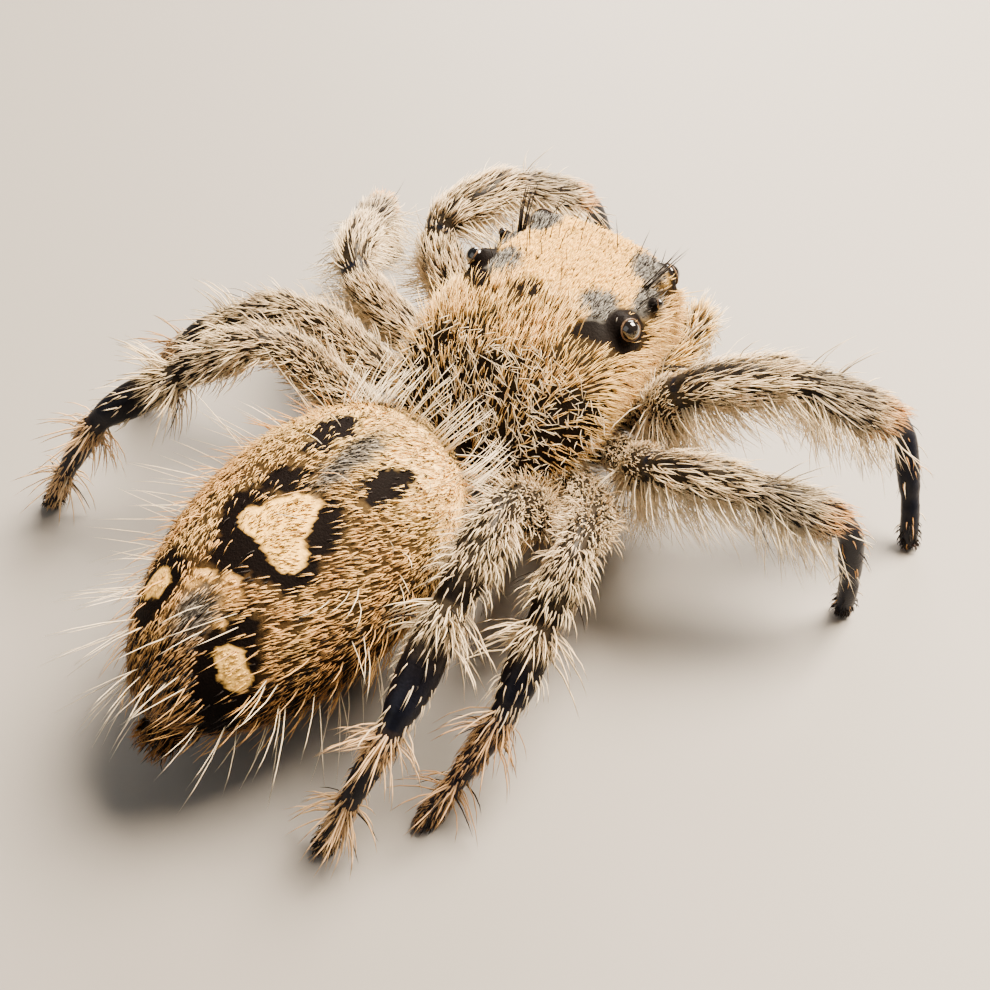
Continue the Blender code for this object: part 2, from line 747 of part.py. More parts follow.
def stand_at_centre(things):
    """Hang everything on one empty, so that the floor centre of the whole is the origin."""
    corners = [vertex.co for thing in things for vertex in thing.data.vertices]
    low = Vector([min(corner[axis] for corner in corners) for axis in range(3)])
    high = Vector([max(corner[axis] for corner in corners) for axis in range(3)])
    centre = bpy.data.objects.new("spider_centre", None)
    SPIDER.objects.link(centre)
    centre.location = (-(low.x + high.x) / 2.0, -(low.y + high.y) / 2.0, -low.z)
    for thing in things:
        thing.parent = centre


AXES = {}
TREES = {}
TAKEN = []
DRAW = random.Random(SEED)

clear_scene()
SPIDER = bpy.data.collections.new("jumping_spider")
bpy.context.scene.collection.children.link(SPIDER)
finishes = make_finishes()

carapace = make_carapace()
sternum = make_sternum()
cut_clear(sternum, [carapace_form("swollen", GAP)])
abdomen = abdomen_form("abdomen")
pedicel = make_pedicel()
cut_clear(pedicel, [carapace_form("swollen", GAP), abdomen_form("swollen", GAP)])
spinnerets = make_spinnerets()
cut_clear(spinnerets, [abdomen_form("swollen", GAP)])

legs = []
for leg_name in POSE:
    legs += make_leg(leg_name)
for piece in legs:
    if piece.name.endswith(("_coxa", "_femur")):
        cut_clear(piece, [carapace_form("swollen", GAP)])

eyes = []
mouth = []
palps = []
for side_sign, side_mark in ((1, "_L"), (-1, "_R")):
    eyes += make_eyes(side_sign, side_mark)
    chelicera = chelicera_form("chelicera" + side_mark, side_sign)
    cut_clear(chelicera, [carapace_form("swollen", GAP)])
    fang = make_fang(side_sign, side_mark)
    cut_clear(fang, [chelicera_form("swollen", side_sign, GAP / 2.0)])
    maxilla = maxilla_form("maxilla" + side_mark, side_sign)
    cut_clear(maxilla, [chelicera_form("swollen", side_sign, GAP), sternum_form("swollen", GAP)])
    mouth += [chelicera, fang, maxilla]
    upper_palp, lower_palp = make_palp(side_sign, side_mark)
    swollen = [
        carapace_form("swollen", GAP),
        chelicera_form("swollen", side_sign, GAP),
        maxilla_form("swollen", side_sign, GAP),
    ]
    cut_clear(upper_palp, swollen)
    palps += [upper_palp, lower_palp]

everything = [carapace, sternum, abdomen, pedicel, spinnerets] + legs + eyes + mouth + palps
for thing in everything:
    TREES[thing.name] = skin_tree(thing)

grow_locks(carapace, carapace_locks())
grow_locks(abdomen, abdomen_locks())
for piece in legs:
    wanted = []
    for ending, *ring in LEG_RINGS:
        if piece.name.endswith(ending):
            wanted += ring_locks(piece.name, *ring)
    grow_locks(piece, wanted)
for piece in palps:
    wanted = []
    for beginning, *ring in PALP_RINGS:
        if piece.name.startswith(beginning):
            wanted += ring_locks(piece.name, *ring)
    grow_locks(piece, wanted)

for piece in legs:
    give_finish(piece, finishes["dark_cuticle" if piece.name.endswith("_tarsus") else "leg_fur"])
for piece in palps:
    give_finish(piece, finishes["cream_fur"])
for piece in eyes:
    give_finish(piece, finishes["eye_glass"])
for piece in mouth:
    give_finish(piece, finishes["dark_cuticle"])
give_finish(carapace, finishes["tan_fur"])
give_finish(abdomen, finishes["cream_fur"])
for piece in (sternum, pedicel, spinnerets):
    give_finish(piece, finishes["brown_cuticle"])

stand_at_centre(everything)
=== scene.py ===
"""Looks of the regal jumping spider: one skin, eyes, jaws, claws and a coat of solid hairs.

The spider faces -Y, its right side is at -X, and its feet stand on the floor at z = 0. Forms are made
in millimetres, in the body's own frame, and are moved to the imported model's frame in metres at the end.
"""

import math
from dataclasses import dataclass
from typing import Any

import bpy
import numpy as np
from bpy.props import FloatProperty, FloatVectorProperty, IntProperty, PointerProperty
from bpy.types import Operator, Panel, PropertyGroup
from mathutils import Matrix, Vector
from mathutils.kdtree import KDTree


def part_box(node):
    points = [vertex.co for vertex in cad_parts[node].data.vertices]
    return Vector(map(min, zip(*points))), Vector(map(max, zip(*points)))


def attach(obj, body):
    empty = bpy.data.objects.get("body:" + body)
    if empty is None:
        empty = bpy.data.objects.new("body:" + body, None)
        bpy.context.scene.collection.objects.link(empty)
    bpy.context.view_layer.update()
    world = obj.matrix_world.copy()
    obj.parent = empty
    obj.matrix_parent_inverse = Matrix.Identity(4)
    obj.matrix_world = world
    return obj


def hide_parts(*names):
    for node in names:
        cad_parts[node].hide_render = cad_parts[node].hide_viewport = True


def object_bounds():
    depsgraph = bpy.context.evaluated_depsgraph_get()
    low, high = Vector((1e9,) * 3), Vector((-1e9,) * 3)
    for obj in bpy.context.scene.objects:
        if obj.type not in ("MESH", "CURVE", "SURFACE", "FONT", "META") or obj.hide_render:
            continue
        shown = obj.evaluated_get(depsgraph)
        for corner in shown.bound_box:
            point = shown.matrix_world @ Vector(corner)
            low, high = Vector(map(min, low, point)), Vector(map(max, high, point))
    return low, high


bl_info = {
    "name": "Jumping Spider",
    "version": (1, 0, 0),
    "blender": (4, 5, 0),
    "location": "View3D > Sidebar > Spider",
    "description": "Builds the looks of a life-size jumping spider round its packed model",
    "category": "Object",
}

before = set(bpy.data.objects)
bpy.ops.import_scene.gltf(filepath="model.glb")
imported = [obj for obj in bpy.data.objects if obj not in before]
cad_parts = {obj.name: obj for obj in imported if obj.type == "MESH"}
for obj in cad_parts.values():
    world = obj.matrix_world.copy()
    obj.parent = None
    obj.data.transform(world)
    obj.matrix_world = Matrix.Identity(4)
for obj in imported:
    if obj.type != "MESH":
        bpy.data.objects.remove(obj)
CAD_BOX = [list(corner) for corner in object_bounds()]

MM = 0.001

# Cephalothorax: y, half width, lowest and highest z, from the face to the waist
CARAPACE_STATIONS = (
    (-5.80, 1.50, 2.80, 4.22),
    (-5.58, 1.95, 2.40, 4.58),
    (-4.80, 2.15, 2.05, 4.76),
    (-3.60, 2.30, 1.80, 4.72),
    (-2.60, 2.42, 1.70, 4.44),
    (-1.60, 2.44, 1.66, 3.88),
    (-0.80, 2.20, 1.66, 3.20),
    (-0.25, 1.66, 1.68, 2.62),
    (0.00, 0.95, 1.78, 2.25),
)
CARAPACE_SQUARENESS = 2.6

# Abdomen: an egg that hangs down a little at the rear and is rolled a little to the left, less so behind;
# its arc is the mean half width, which turns an angle into millimetres over the back
ABDOMEN_CENTRE = (0.0, 4.65, 2.68)
ABDOMEN_HALF = (2.42, 3.92, 2.05)
ABDOMEN_DROOP = 8.0
ABDOMEN_TAPER = 0.09
ABDOMEN_ROLL = 9.0
ABDOMEN_UNROLL = 12.0
ABDOMEN_ARC = 2.3

# Small round forms of the underside: centre, half sizes
UNDERSIDE = (
    ((0.0, -1.95, 1.05), (0.72, 2.0, 0.30)),
    ((0.0, -3.95, 1.10), (0.32, 0.42, 0.24)),
    ((0.62, -4.55, 1.15), (0.30, 0.50, 0.30)),
    ((-0.62, -4.55, 1.15), (0.30, 0.50, 0.30)),
    ((0.0, -2.40, 1.55), (1.70, 2.30, 0.42)),
    ((0.0, -4.60, 1.75), (1.35, 0.70, 0.50)),
    ((0.0, 8.00, 1.62), (0.60, 0.50, 0.50)),
)
PEDICEL = ((0.0, -0.30, 2.00), (0.0, 1.80, 2.00))
PEDICEL_RADIUS = 0.40
SPINNERET_CENTRE = (0.0, 8.05, 1.62)
SPINNERET_SPREAD = 0.30
SPINNERET_LENGTH = 0.72
SPINNERET_RADII = (0.21, 0.10)

# Eyes, left side: x, y, z of the centre, the radius, and the way that each looks out
EYES = {
    "eye_front_middle": (0.55, -5.66, 3.98, 0.40, (0.06, -1.0, 0.02)),
    "eye_front_side": (1.70, -5.46, 4.30, 0.26, (0.35, -0.90, 0.12)),
    "eye_small": (2.10, -4.45, 4.34, 0.11, (0.85, -0.30, 0.45)),
    "eye_rear": (2.05, -3.40, 4.28, 0.24, (0.80, 0.30, 0.52)),
}
# Each eye stands on a mound of skin: how far behind the eye its centre is and its size, in eye radii.
# A lens is flattened by a share at its rim, and the rim has its radius, thickness and height in eye radii.
MOUND_DEPTH = 1.05
MOUND_SIZE = 1.52
LENS_FLATNESS = 0.06
RIM_RADIUS = 0.95
RIM_THICKNESS = 0.085
RIM_HEIGHT = 0.28
RIM_COLOUR = "5E4A38"
RIM_SHINE = 0.7

# Mouthparts, left side
CHELICERA_STATIONS = (
    (2.95, 0.75, -5.15, 0.50, 0.42),
    (2.60, 0.77, -5.22, 0.56, 0.51),
    (2.20, 0.78, -5.28, 0.60, 0.55),
    (1.60, 0.76, -5.38, 0.55, 0.53),
    (1.20, 0.73, -5.44, 0.47, 0.45),
    (0.92, 0.70, -5.48, 0.32, 0.30),
)
FANG_PATH = (
    (0.80, -5.52, 1.10),
    (0.95, -5.56, 0.76),
    (0.80, -5.56, 0.47),
    (0.52, -5.50, 0.42),
    (0.28, -5.42, 0.50),
)
FANG_RADII = (0.19, 0.19, 0.165, 0.11, 0.03)
PALP_PATH = (
    (1.45, -4.75, 1.55),
    (1.55, -4.85, 1.62),
    (2.02, -5.70, 2.00),
    (2.02, -6.60, 2.45),
    (1.78, -7.10, 1.70),
    (1.60, -7.25, 0.95),
    (1.50, -7.20, 0.55),
)
PALP_PROFILE = (
    (0.0, 0.30), (0.16, 0.32), (0.28, 0.36), (0.37, 0.29), (0.48, 0.35), (0.58, 0.28),
    (0.70, 0.33), (0.76, 0.29), (0.86, 0.34), (0.96, 0.28), (1.0, 0.16),
)

# Legs: hips from the first pair to the fourth, then knee, ankle and foot of each leg
HIPS = ((2.10, -3.80), (2.38, -2.60), (2.38, -1.38), (2.02, -0.16))
HIP_Z = 1.52
COXA_INNER = (1.04, 1.22)
COXA_FAN = 0.86
BREAST_Y = -1.95
POSE = {
    "leg1_R": ((-3.64, -2.77, 3.92), (-7.45, -6.16, 2.52), (-8.51, -5.44, 0.0)),
    "leg2_R": ((-4.19, -0.89, 3.58), (-7.91, -2.83, 2.58), (-8.20, -2.93, 0.0)),
    "leg3_R": ((-4.37, 1.59, 3.70), (-4.88, 4.45, 1.90), (-4.41, 6.40, 0.0)),
    "leg4_R": ((-3.09, 2.15, 4.48), (-3.81, 6.26, 2.69), (-3.28, 7.91, 0.0)),
    "leg1_L": ((4.20, -4.35, 3.70), (2.70, -8.96, 2.46), (2.50, -9.90, 0.0)),
    "leg2_L": ((4.75, -2.00, 3.60), (6.90, -5.70, 2.40), (7.50, -6.50, 0.0)),
    "leg3_L": ((4.37, -0.17, 3.81), (7.28, 0.95, 2.02), (8.50, 1.80, 0.0)),
    "leg4_L": ((3.54, 1.48, 4.48), (6.22, 4.35, 2.69), (7.49, 5.42, 0.0)),
}
LEG_STOUTNESS = {"1": 1.12, "2": 1.0, "3": 0.95, "4": 1.0}
LEG_FLATNESS = 0.92
FEMUR_BOW = 0.38
FEMUR_BOW_LIE = (1.0, 0.0, -0.3)
SHIN_AT = 0.46
SHIN_BOW = {"1": 0.85, "2": 0.26, "3": 0.16, "4": 0.16}
TOE_AT = 0.62
TOE_BOW = 0.10
CORNER_REACH = {1: 0.35, 2: 0.50, 3: 0.55, 4: 0.50, 5: 0.45, 6: 0.45}
BEND_RADIUS = {1: 0.45, 2: 0.65, 3: 0.85, 4: 0.55, 5: 0.55, 6: 0.35}
NODE_CORNERS = (1, 3, 5)

# Radius along a leg: a whole number is where one CAD piece ends and the next begins. The knee plate
# (patella) runs from 2.0 to 2.47, the tibia to 3.0, the metatarsus to 3.55 and the tarsus to 4.0.
KNEE_PLATE_END = 2.47
METATARSUS_END = 3.55
LEG_PROFILE = (
    (0.00, 0.38), (0.60, 0.43), (0.95, 0.36), (1.06, 0.33), (1.20, 0.41), (1.42, 0.49), (1.75, 0.47),
    (1.92, 0.39), (1.99, 0.34), (2.05, 0.38), (2.20, 0.46), (2.38, 0.42), (2.46, 0.34), (2.50, 0.35),
    (2.60, 0.41), (2.80, 0.42), (2.94, 0.34), (2.99, 0.27), (3.06, 0.27), (3.30, 0.27), (3.50, 0.24),
    (3.555, 0.205), (3.62, 0.22), (3.84, 0.22), (3.96, 0.20), (4.00, 0.14),
)

# Numbers that name the part of the body which a point of the skin belongs to
HEAD, ABDOMEN, BELLY, PALP_LEFT, PALP_RIGHT, FIRST_LEG = 0, 1, 2, 3, 4, 10
LEG_NAMES = tuple(sorted(POSE))

# Claws of a foot: how far each stands from the middle and over the floor, then how far forward and up
# its bend and its point lie from there, and its radii
CLAW_SPREAD = 0.06
CLAW_START = (0.0, 0.0, 0.17)
CLAW_BEND = (0.13, 0.02)
CLAW_POINT = (0.19, -0.08)
CLAW_RADII = (0.045, 0.008)

# Marks on the back: corners in millimetres behind and to the left of the middle of the abdomen
SPOTS = (
    ((0.62, 0.66), (0.34, 0.74), (0.22, 0.50), (-0.08, 0.34), (-0.44, 0.06), (-0.50, -0.28),
     (-0.10, -0.42), (0.24, -0.54), (0.42, -0.80), (0.72, -0.92), (0.93, -0.74), (0.93, -0.40),
     (0.80, -0.10), (0.80, 0.30)),
    ((2.35, 1.68), (2.05, 1.56), (1.96, 1.15), (2.15, 0.84), (2.45, 0.85), (2.62, 1.35)),
    ((2.59, -0.76), (2.43, -0.88), (2.36, -1.17), (2.44, -1.47), (2.58, -1.72), (2.74, -1.76),
     (2.88, -1.48), (2.90, -1.14), (2.77, -0.86)),
)
SOFT_SPOTS = (
    ((2.14, 0.60), (1.78, 0.52), (1.60, 0.20), (1.80, 0.10), (2.08, 0.30)),
    ((1.66, -0.04), (1.50, -0.14), (1.55, -0.40), (1.86, -0.60), (2.00, -0.32)),
    ((2.14, -0.44), (2.10, -0.66), (2.38, -0.68), (2.40, -0.50)),
)
BLACK_MARKS = (
    ((-0.30, 0.96), (-0.68, 0.74), (-0.80, 0.33), (-0.55, 0.20), (-0.15, 0.66)),
    ((0.34, 1.12), (-0.02, 0.80), (0.25, 0.50), (0.95, 0.30), (0.85, 0.85)),
    ((0.77, 0.82), (1.30, 0.55), (1.56, 0.20), (1.32, -0.40), (1.08, -1.02), (0.60, -1.16),
     (0.50, -0.80)),
    ((-0.60, -0.35), (-0.55, -0.62), (-0.20, -0.86), (0.30, -1.00), (0.45, -0.80), (-0.20, -0.30)),
    ((-1.41, -0.60), (-1.82, -0.57), (-2.15, -0.93), (-1.84, -1.08), (-1.37, -1.08), (-1.18, -0.84)),
    ((-1.20, 0.74), (-1.71, 0.99), (-2.41, 0.92), (-2.54, 0.58), (-2.15, 0.36), (-1.58, 0.45)),
    ((1.68, 1.45), (1.70, 0.84), (2.08, 0.60), (2.55, 0.61), (2.97, 1.05), (2.80, 1.75),
     (2.10, 1.85)),
    ((1.95, -0.55), (1.90, -1.05), (2.30, -1.62), (3.30, -2.00), (3.50, -1.75), (3.30, -0.75),
     (2.65, -0.42)),
)

# Marks of the head: centre (y, distance from the middle) and half sizes of the grey patches, and the
# width of the bare ring round each eye
GREY_PATCHES = (
    ((-3.32, 1.36), (0.42, 0.52)),
    ((-5.00, 1.42), (0.44, 0.40)),
    ((-4.30, 1.85), (0.55, 0.24)),
)
EYE_RINGS = {"eye_rear": 0.28, "eye_small": 0.10, "eye_front_side": 0.12, "eye_front_middle": 0.10}

# Marks of the legs: where the hair parts at a joint and how far, and where a fan of long hair starts
# and how long that stretch is, all as values along the leg
JOINT_GAPS = (
    (1.0, 0.02),
    (2.0, 0.012),
    (KNEE_PLATE_END, 0.02),
    (3.0, 0.025),
    (METATARSUS_END, 0.025),
)
FANS = ((2.49, 0.16), (3.02, 0.22), (3.57, 0.20))

# Camera: its place in body millimetres, the way it stands from the spider in degrees, and its lens
CAMERA_PLACE = (-12.806, 14.937, 21.784)
CAMERA_AZIMUTH = 218.0
CAMERA_ELEVATION = 47.0
CAMERA_LENS = 47.0

# Lamps: how far each stands to the right, into the picture and up, its size in metres and its colour
LAMPS = {
    "key": ((0.6, 0.45, 1.0), 0.07, "FFEBD2"),
    "fill": ((-0.9, -0.5, 0.8), 0.12, "F2EFEA"),
    "back": ((0.2, 1.1, 0.5), 0.06, "FFF6EA"),
}
LAMP_TARGET = (0.0, 0.0, 0.002)
LAMP_DISTANCE = 0.10
ROOM_COLOUR = "E6E1DA"
ROOM_STRENGTH = 0.24
FLOOR_SIZE = 1.2

# Hair: the side of its patch on the unwrap, the first number of the random draws, how far it sinks into
# the skin and sways in millimetres, how much its rise differs in degrees, and its last width as a share
PATCH = 0.003
SEED = 11
HAIR_SINK = 0.05
HAIR_SWAY = 0.06
RISE_SPREAD = 6.0
TIP_WIDTH = 0.55

# Least height of skin and hair over the floor, in millimetres
LOWEST = 0.02


def linear(hex_colour):
    """A linear RGB colour from an sRGB hex value."""
    out = []
    for start in (0, 2, 4):
        value = int(hex_colour[start : start + 2], 16) / 255.0
        out.append(value / 12.92 if value <= 0.04045 else ((value + 0.055) / 1.055) ** 2.4)
    return tuple(out)


def colour_property(name, description, hex_colour):
    """A colour that can be changed in the panel, from an sRGB hex value."""
    return FloatVectorProperty(
        name=name, description=description, default=linear(hex_colour), subtype="COLOR", size=3,
        min=0.0, max=1.0,
    )


def length_property(name, description, default):
    """A length that can be changed in the panel, from its millimetres."""
    return FloatProperty(
        name=name, description=description, default=default * MM, min=0.0, subtype="DISTANCE",
        unit="LENGTH", precision=6,
    )


def power_property(name, description, default):
    """The power of a lamp, in watts, that can be changed in the panel."""
    return FloatProperty(name=name, description=description, default=default, unit="POWER")


class SpiderSkinSettings(PropertyGroup):
    voxel: length_property("Grid", "Grid size that the joined forms are remeshed at", 0.079)
    smoothing: IntProperty(
        name="Smoothing", description="Rounds of smoothing over the joins", default=5, min=0
    )


class SpiderColours(PropertyGroup):
    cuticle: colour_property("Skin", "Bare skin between the hairs", "080403")
    cream: colour_property("Cream", "Palest hair of the front band, the thorax and the legs", "FFD788")
    tan: colour_property("Tan", "Main colour of the coat", "EDB76E")
    # Brown also darkens the rear and the lower flanks of the abdomen, partly as painted shade
    brown: colour_property("Brown", "Darker hair towards the rear and the flanks", "96642D")
    dark: colour_property("Dark", "Nearly black hair between the marks", "1B120D")
    spot: colour_property("Spots", "Flat scales of the spots on the back", "FFCC6A")
    grey: colour_property("Grey", "Hair of the streak on the back and round the eyes", "8C8A84")
    orange: colour_property("Orange", "Warm hair on the head, the front tibiae and the feet", "FBB55E")
    setae: colour_property("Long hair", "Long pale bristles", "FDEAC6")
    # The feet are black; the blue in this colour is a painted reflection
    foot: colour_property("Feet", "Blue-black skin of the feet", "090D1A")


class SpiderCoatSettings(PropertyGroup):
    density: FloatProperty(
        name="Density", description="Share of the full number of hairs", default=1.0, min=0.05
    )
    width: length_property("Hair width", "Width of a lying hair at its root", 0.062)
    bristle: length_property("Bristle width", "Width of a long bristle at its root", 0.036)
    margin: length_property("Margin", "Least distance of any hair from the sides of the model's box", 0.02)


class SpiderStageSettings(PropertyGroup):
    floor: colour_property("Floor", "Colour of the plain floor", "85827E")
    key_power: power_property("Key light", "Power of the main lamp", 1.45)
    fill_power: power_property("Fill light", "Power of the fill lamp", 0.06)
    back_power: power_property("Back light", "Power of the back lamp", 0.26)


def setting_names(group):
    """The names of the settings in a group."""
    return [key for key in group.bl_rna.properties.keys() if key not in ("rna_type", "name")]


def find_centre_shift():
    """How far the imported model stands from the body's own frame, read from the left rear eye."""
    low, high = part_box("eye_rear_L")
    place = EYES["eye_rear"][:3]
    return np.array([(low[axis] + high[axis]) / 2.0 / MM - place[axis] for axis in range(3)])


CENTRE_SHIFT = find_centre_shift()


def to_model(points):
    """Points of the body's own frame, in millimetres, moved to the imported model's frame in metres."""
    return (np.asarray(points, float) + CENTRE_SHIFT) * MM


def read_numbers(things, field, width=1, kind=float):
    """A field of each vertex, triangle or corner as an array, width numbers to a row."""
    values = np.empty(len(things) * width, kind)
    things.foreach_get(field, values)
    return values.reshape(-1, width) if width > 1 else values


def vertex_places(thing):
    """Where the points of a thing are, one row for each."""
    return read_numbers(thing.data.vertices, "co", 3)


def move_vertices(thing, places):
    """Move the points of a thing to these places."""
    thing.data.vertices.foreach_set("co", np.asarray(places, float).ravel())
    thing.data.update()


def settle(thing):
    """Move a finished form from the body's own frame to the model's, and smooth its faces."""
    move_vertices(thing, to_model(vertex_places(thing)))
    bpy.ops.object.shade_smooth()


def add_thing(name, data):
    """A new object of the scene for a mesh, a lamp or a camera."""
    thing = bpy.data.objects.new(name, data)
    bpy.context.scene.collection.objects.link(thing)
    return thing


def join(things):
    """The things joined into one object, which stays selected and active."""
    bpy.ops.object.select_all(action="DESELECT")
    for thing in things:
        thing.select_set(True)
    bpy.context.view_layer.objects.active = things[0]
    if len(things) > 1:
        bpy.ops.object.join()
    return bpy.context.object


def point_tree(points):
    """A search tree over the points."""
    tree = KDTree(len(points))
    for k, point in enumerate(points):
        tree.insert(point, k)
    tree.balance()
    return tree


def nearest_in(tree, points):
    """Which of the tree's points is nearest to each point."""
    return np.array([tree.find(point)[1] for point in points])


def unit(vectors):
    """The vectors of an array, each made one unit long."""
    return vectors / np.maximum(np.linalg.norm(vectors, axis=-1, keepdims=True), 1e-12)


def smooth_step(low, high, value):
    """A share that rises softly from 0 at low to 1 at high, or falls where low is the larger."""
    share = np.clip((value - low) / (high - low), 0.0, 1.0)
    return share * share * (3.0 - 2.0 * share)


def stretch(value, start, full, end, gone):
    """A share that rises softly from 0 at start to 1 at full, and falls from 1 at end to 0 at gone."""
    return smooth_step(start, full, value) * smooth_step(gone, end, value)


def smooth_curve(at, knots, values):
    """A soft curve through the values at the knots, read at the places asked for."""
    at = np.asarray(at, float)
    knots = np.asarray(knots, float)
    values = np.asarray(values, float)
    slopes = np.gradient(values, knots, axis=0)
    k = np.clip(np.searchsorted(knots, at, side="right") - 1, 0, len(knots) - 2)
    step = knots[k + 1] - knots[k]
    t = np.clip((at - knots[k]) / step, 0.0, 1.0)
    if values.ndim > 1:
        step = step[:, None]
        t = t[:, None]
    return (
        (2 * t**3 - 3 * t**2 + 1) * values[k]
        + (t**3 - 2 * t**2 + t) * step * slopes[k]
        + (3 * t**2 - 2 * t**3) * values[k + 1]
        + (t**3 - t**2) * step * slopes[k + 1]
    )


def even(count):
    """Evenly spaced shares from 0 to 1."""
    return np.linspace(0.0, 1.0, count)


def bent_path(points, count):
    """A soft curve with count points through a few points that are evenly spaced along it."""
    return smooth_curve(even(count), even(len(points)), np.array(points))


def read_rows(at, knots, rows):
    """Rows of three numbers between the knots, read at the places asked for."""
    return np.stack([np.interp(at, knots, rows[:, axis]) for axis in range(3)], axis=1)


def path_runs(points):
    """The length of a path from its start to each of its points."""
    steps = np.linalg.norm(np.diff(points, axis=0), axis=1)
    return np.concatenate([[0.0], np.cumsum(steps)])


def signed_degrees(turn):
    """An angle in radians as degrees from -180 to 180."""
    return np.degrees(np.arctan2(np.sin(turn), np.cos(turn)))


def ball(u, v):
    """Points of the unit sphere whose poles lie on the Y axis, and the turn of each."""
    radius = np.sin(np.pi * v)
    turn = 2.0 * np.pi * u
    return np.stack([radius * np.sin(turn), -np.cos(np.pi * v), radius * np.cos(turn)], axis=1), turn


def squared(values, squareness):
    """The coordinates of a superellipse that is boxier than a circle."""
    return np.sign(values) * np.abs(values) ** (2.0 / squareness)


def frames_along(points):
    """A direction, a side and a top for each point of a path, carried along without twist."""
    directions = unit(np.gradient(points, axis=0))
    start = np.array((0.0, 0.0, 1.0))
    if abs(directions[0] @ start) > 0.9:
        start = np.array((0.0, 1.0, 0.0))
    side = np.cross(directions[0], start)
    sides = []
    for direction in directions:
        side = unit(side - direction * (side @ direction))
        sides.append(side)
    sides = np.array(sides)
    return directions, sides, np.cross(sides, directions)


class Form:
    """One closed form of the body before the forms become one skin, with what its points know."""

    def __init__(self, limb, around, along, place):
        """place turns arrays of u, the share of a turn, and v, the share of the length, into points,
        their value along the limb, their angle and the way that hair lies there."""
        bpy.ops.object.select_all(action="DESELECT")
        bpy.ops.mesh.primitive_grid_add(x_subdivisions=around, y_subdivisions=along, size=2.0)
        self.thing = bpy.context.object
        sheet = vertex_places(self.thing)
        u = (sheet[:, 0] + 1.0) / 2.0
        v = (sheet[:, 1] + 1.0) / 2.0
        self.points, self.along, self.angle, self.lie = place(u, v)
        self.limb = np.full(len(u), limb)
        move_vertices(self.thing, self.points)
        bpy.ops.object.mode_set(mode="EDIT")
        bpy.ops.mesh.select_all(action="SELECT")
        bpy.ops.mesh.remove_doubles(threshold=0.001)
        bpy.ops.mesh.fill_holes(sides=0)
        bpy.ops.mesh.normals_make_consistent(inside=False)
        bpy.ops.object.mode_set(mode="OBJECT")


def carapace_place(u, v):
    """Places on the carapace, where hair points backwards on top, down on the flanks and on the face."""
    stations = np.array(CARAPACE_STATIONS)
    y = stations[0, 0] + (stations[-1, 0] - stations[0, 0]) * v
    half_width, low, high = smooth_curve(y, stations[:, 0], stations[:, 1:]).T
    turn = 2.0 * np.pi * u
    across = squared(np.sin(turn), CARAPACE_SQUARENESS)
    upward = squared(np.cos(turn), CARAPACE_SQUARENESS)
    z = (low + high) / 2.0 + (high - low) / 2.0 * upward
    points = np.stack([half_width * across, y, z], axis=1)
    flank = np.abs(np.sin(turn)) * smooth_step(4.4, 3.4, z)
    lie = np.stack([across * flank * 0.15, -1.0 + 0.35 * flank, 0.12 - 0.75 * flank], axis=1)
    face = smooth_step(-5.35, -5.72, y)[:, None]
    lie = lie * (1.0 - face) + np.array((0.0, -0.25, -1.0)) * face
    return points, y, signed_degrees(turn), lie


def egg_turn():
    """The turn by which the abdomen droops."""
    return np.array(Matrix.Rotation(math.radians(-ABDOMEN_DROOP), 3, "X"))


def egg_place(units):
    """Points of the unit sphere, moved to the skin of the abdomen."""
    place = units * np.array(ABDOMEN_HALF)
    place[:, (0, 2)] *= (1.0 - ABDOMEN_TAPER * units[:, 1])[:, None]
    return place @ egg_turn().T + np.array(ABDOMEN_CENTRE)


def egg_units(places):
    """The points of the unit sphere that egg_place moves to these places."""
    units = (places - np.array(ABDOMEN_CENTRE)) @ egg_turn() / np.array(ABDOMEN_HALF)
    units[:, (0, 2)] /= (1.0 - ABDOMEN_TAPER * units[:, 1])[:, None]
    return units


def abdomen_place(u, v):
    """Places on the abdomen, where hair points backwards and, above its sides, a little to the middle."""
    units, turn = ball(u, v)
    along = units[:, 1]
    angle = signed_degrees(turn)
    steep = np.abs(angle)
    side = np.sign(np.sin(turn))
    to_top = np.stack([-side * np.cos(turn), np.zeros_like(u), side * np.sin(turn)], axis=1)
    upward = 0.62 * smooth_step(0.0, 20.0, steep) * smooth_step(100.0, 60.0, steep)
    upward = upward * smooth_step(0.95, 0.35, along) - 0.55 * smooth_step(85.0, 115.0, steep)
    lie = to_top * upward[:, None] + np.array((0.0, 1.0, -0.14))
    return egg_place(units), along, angle, lie


def round_place(centre, half, lie):
    """Places on an egg-shaped lump, for a form's grid."""

    def place(u, v):
        units, turn = ball(u, v)
        points = units * np.array(half) + np.array(centre)
        return points, points[:, 1], np.degrees(turn), np.tile(np.array(lie, float), (len(u), 1))

    return place


def tube_place(path, radii, flatness=1.0, along=None):
    """Places on a tube along a path, for a form's grid: flatness is the share of its width that is kept."""
    path = np.asarray(path, float)
    directions, sides, tops = frames_along(path)
    at = even(len(path))
    along = at if along is None else along

    def place(u, v):
        turn = (2.0 * np.pi * u)[:, None]
        radius = np.interp(v, at, radii)[:, None]
        sideways = read_rows(v, at, sides) * np.sin(turn) * flatness
        upwards = read_rows(v, at, tops) * np.cos(turn)
        points = read_rows(v, at, path) + (sideways + upwards) * radius
        points[:, 2] = np.maximum(points[:, 2], LOWEST)
        lie = unit(read_rows(v, at, directions))
        return points, np.interp(v, at, along), np.degrees(turn[:, 0]), lie

    return place


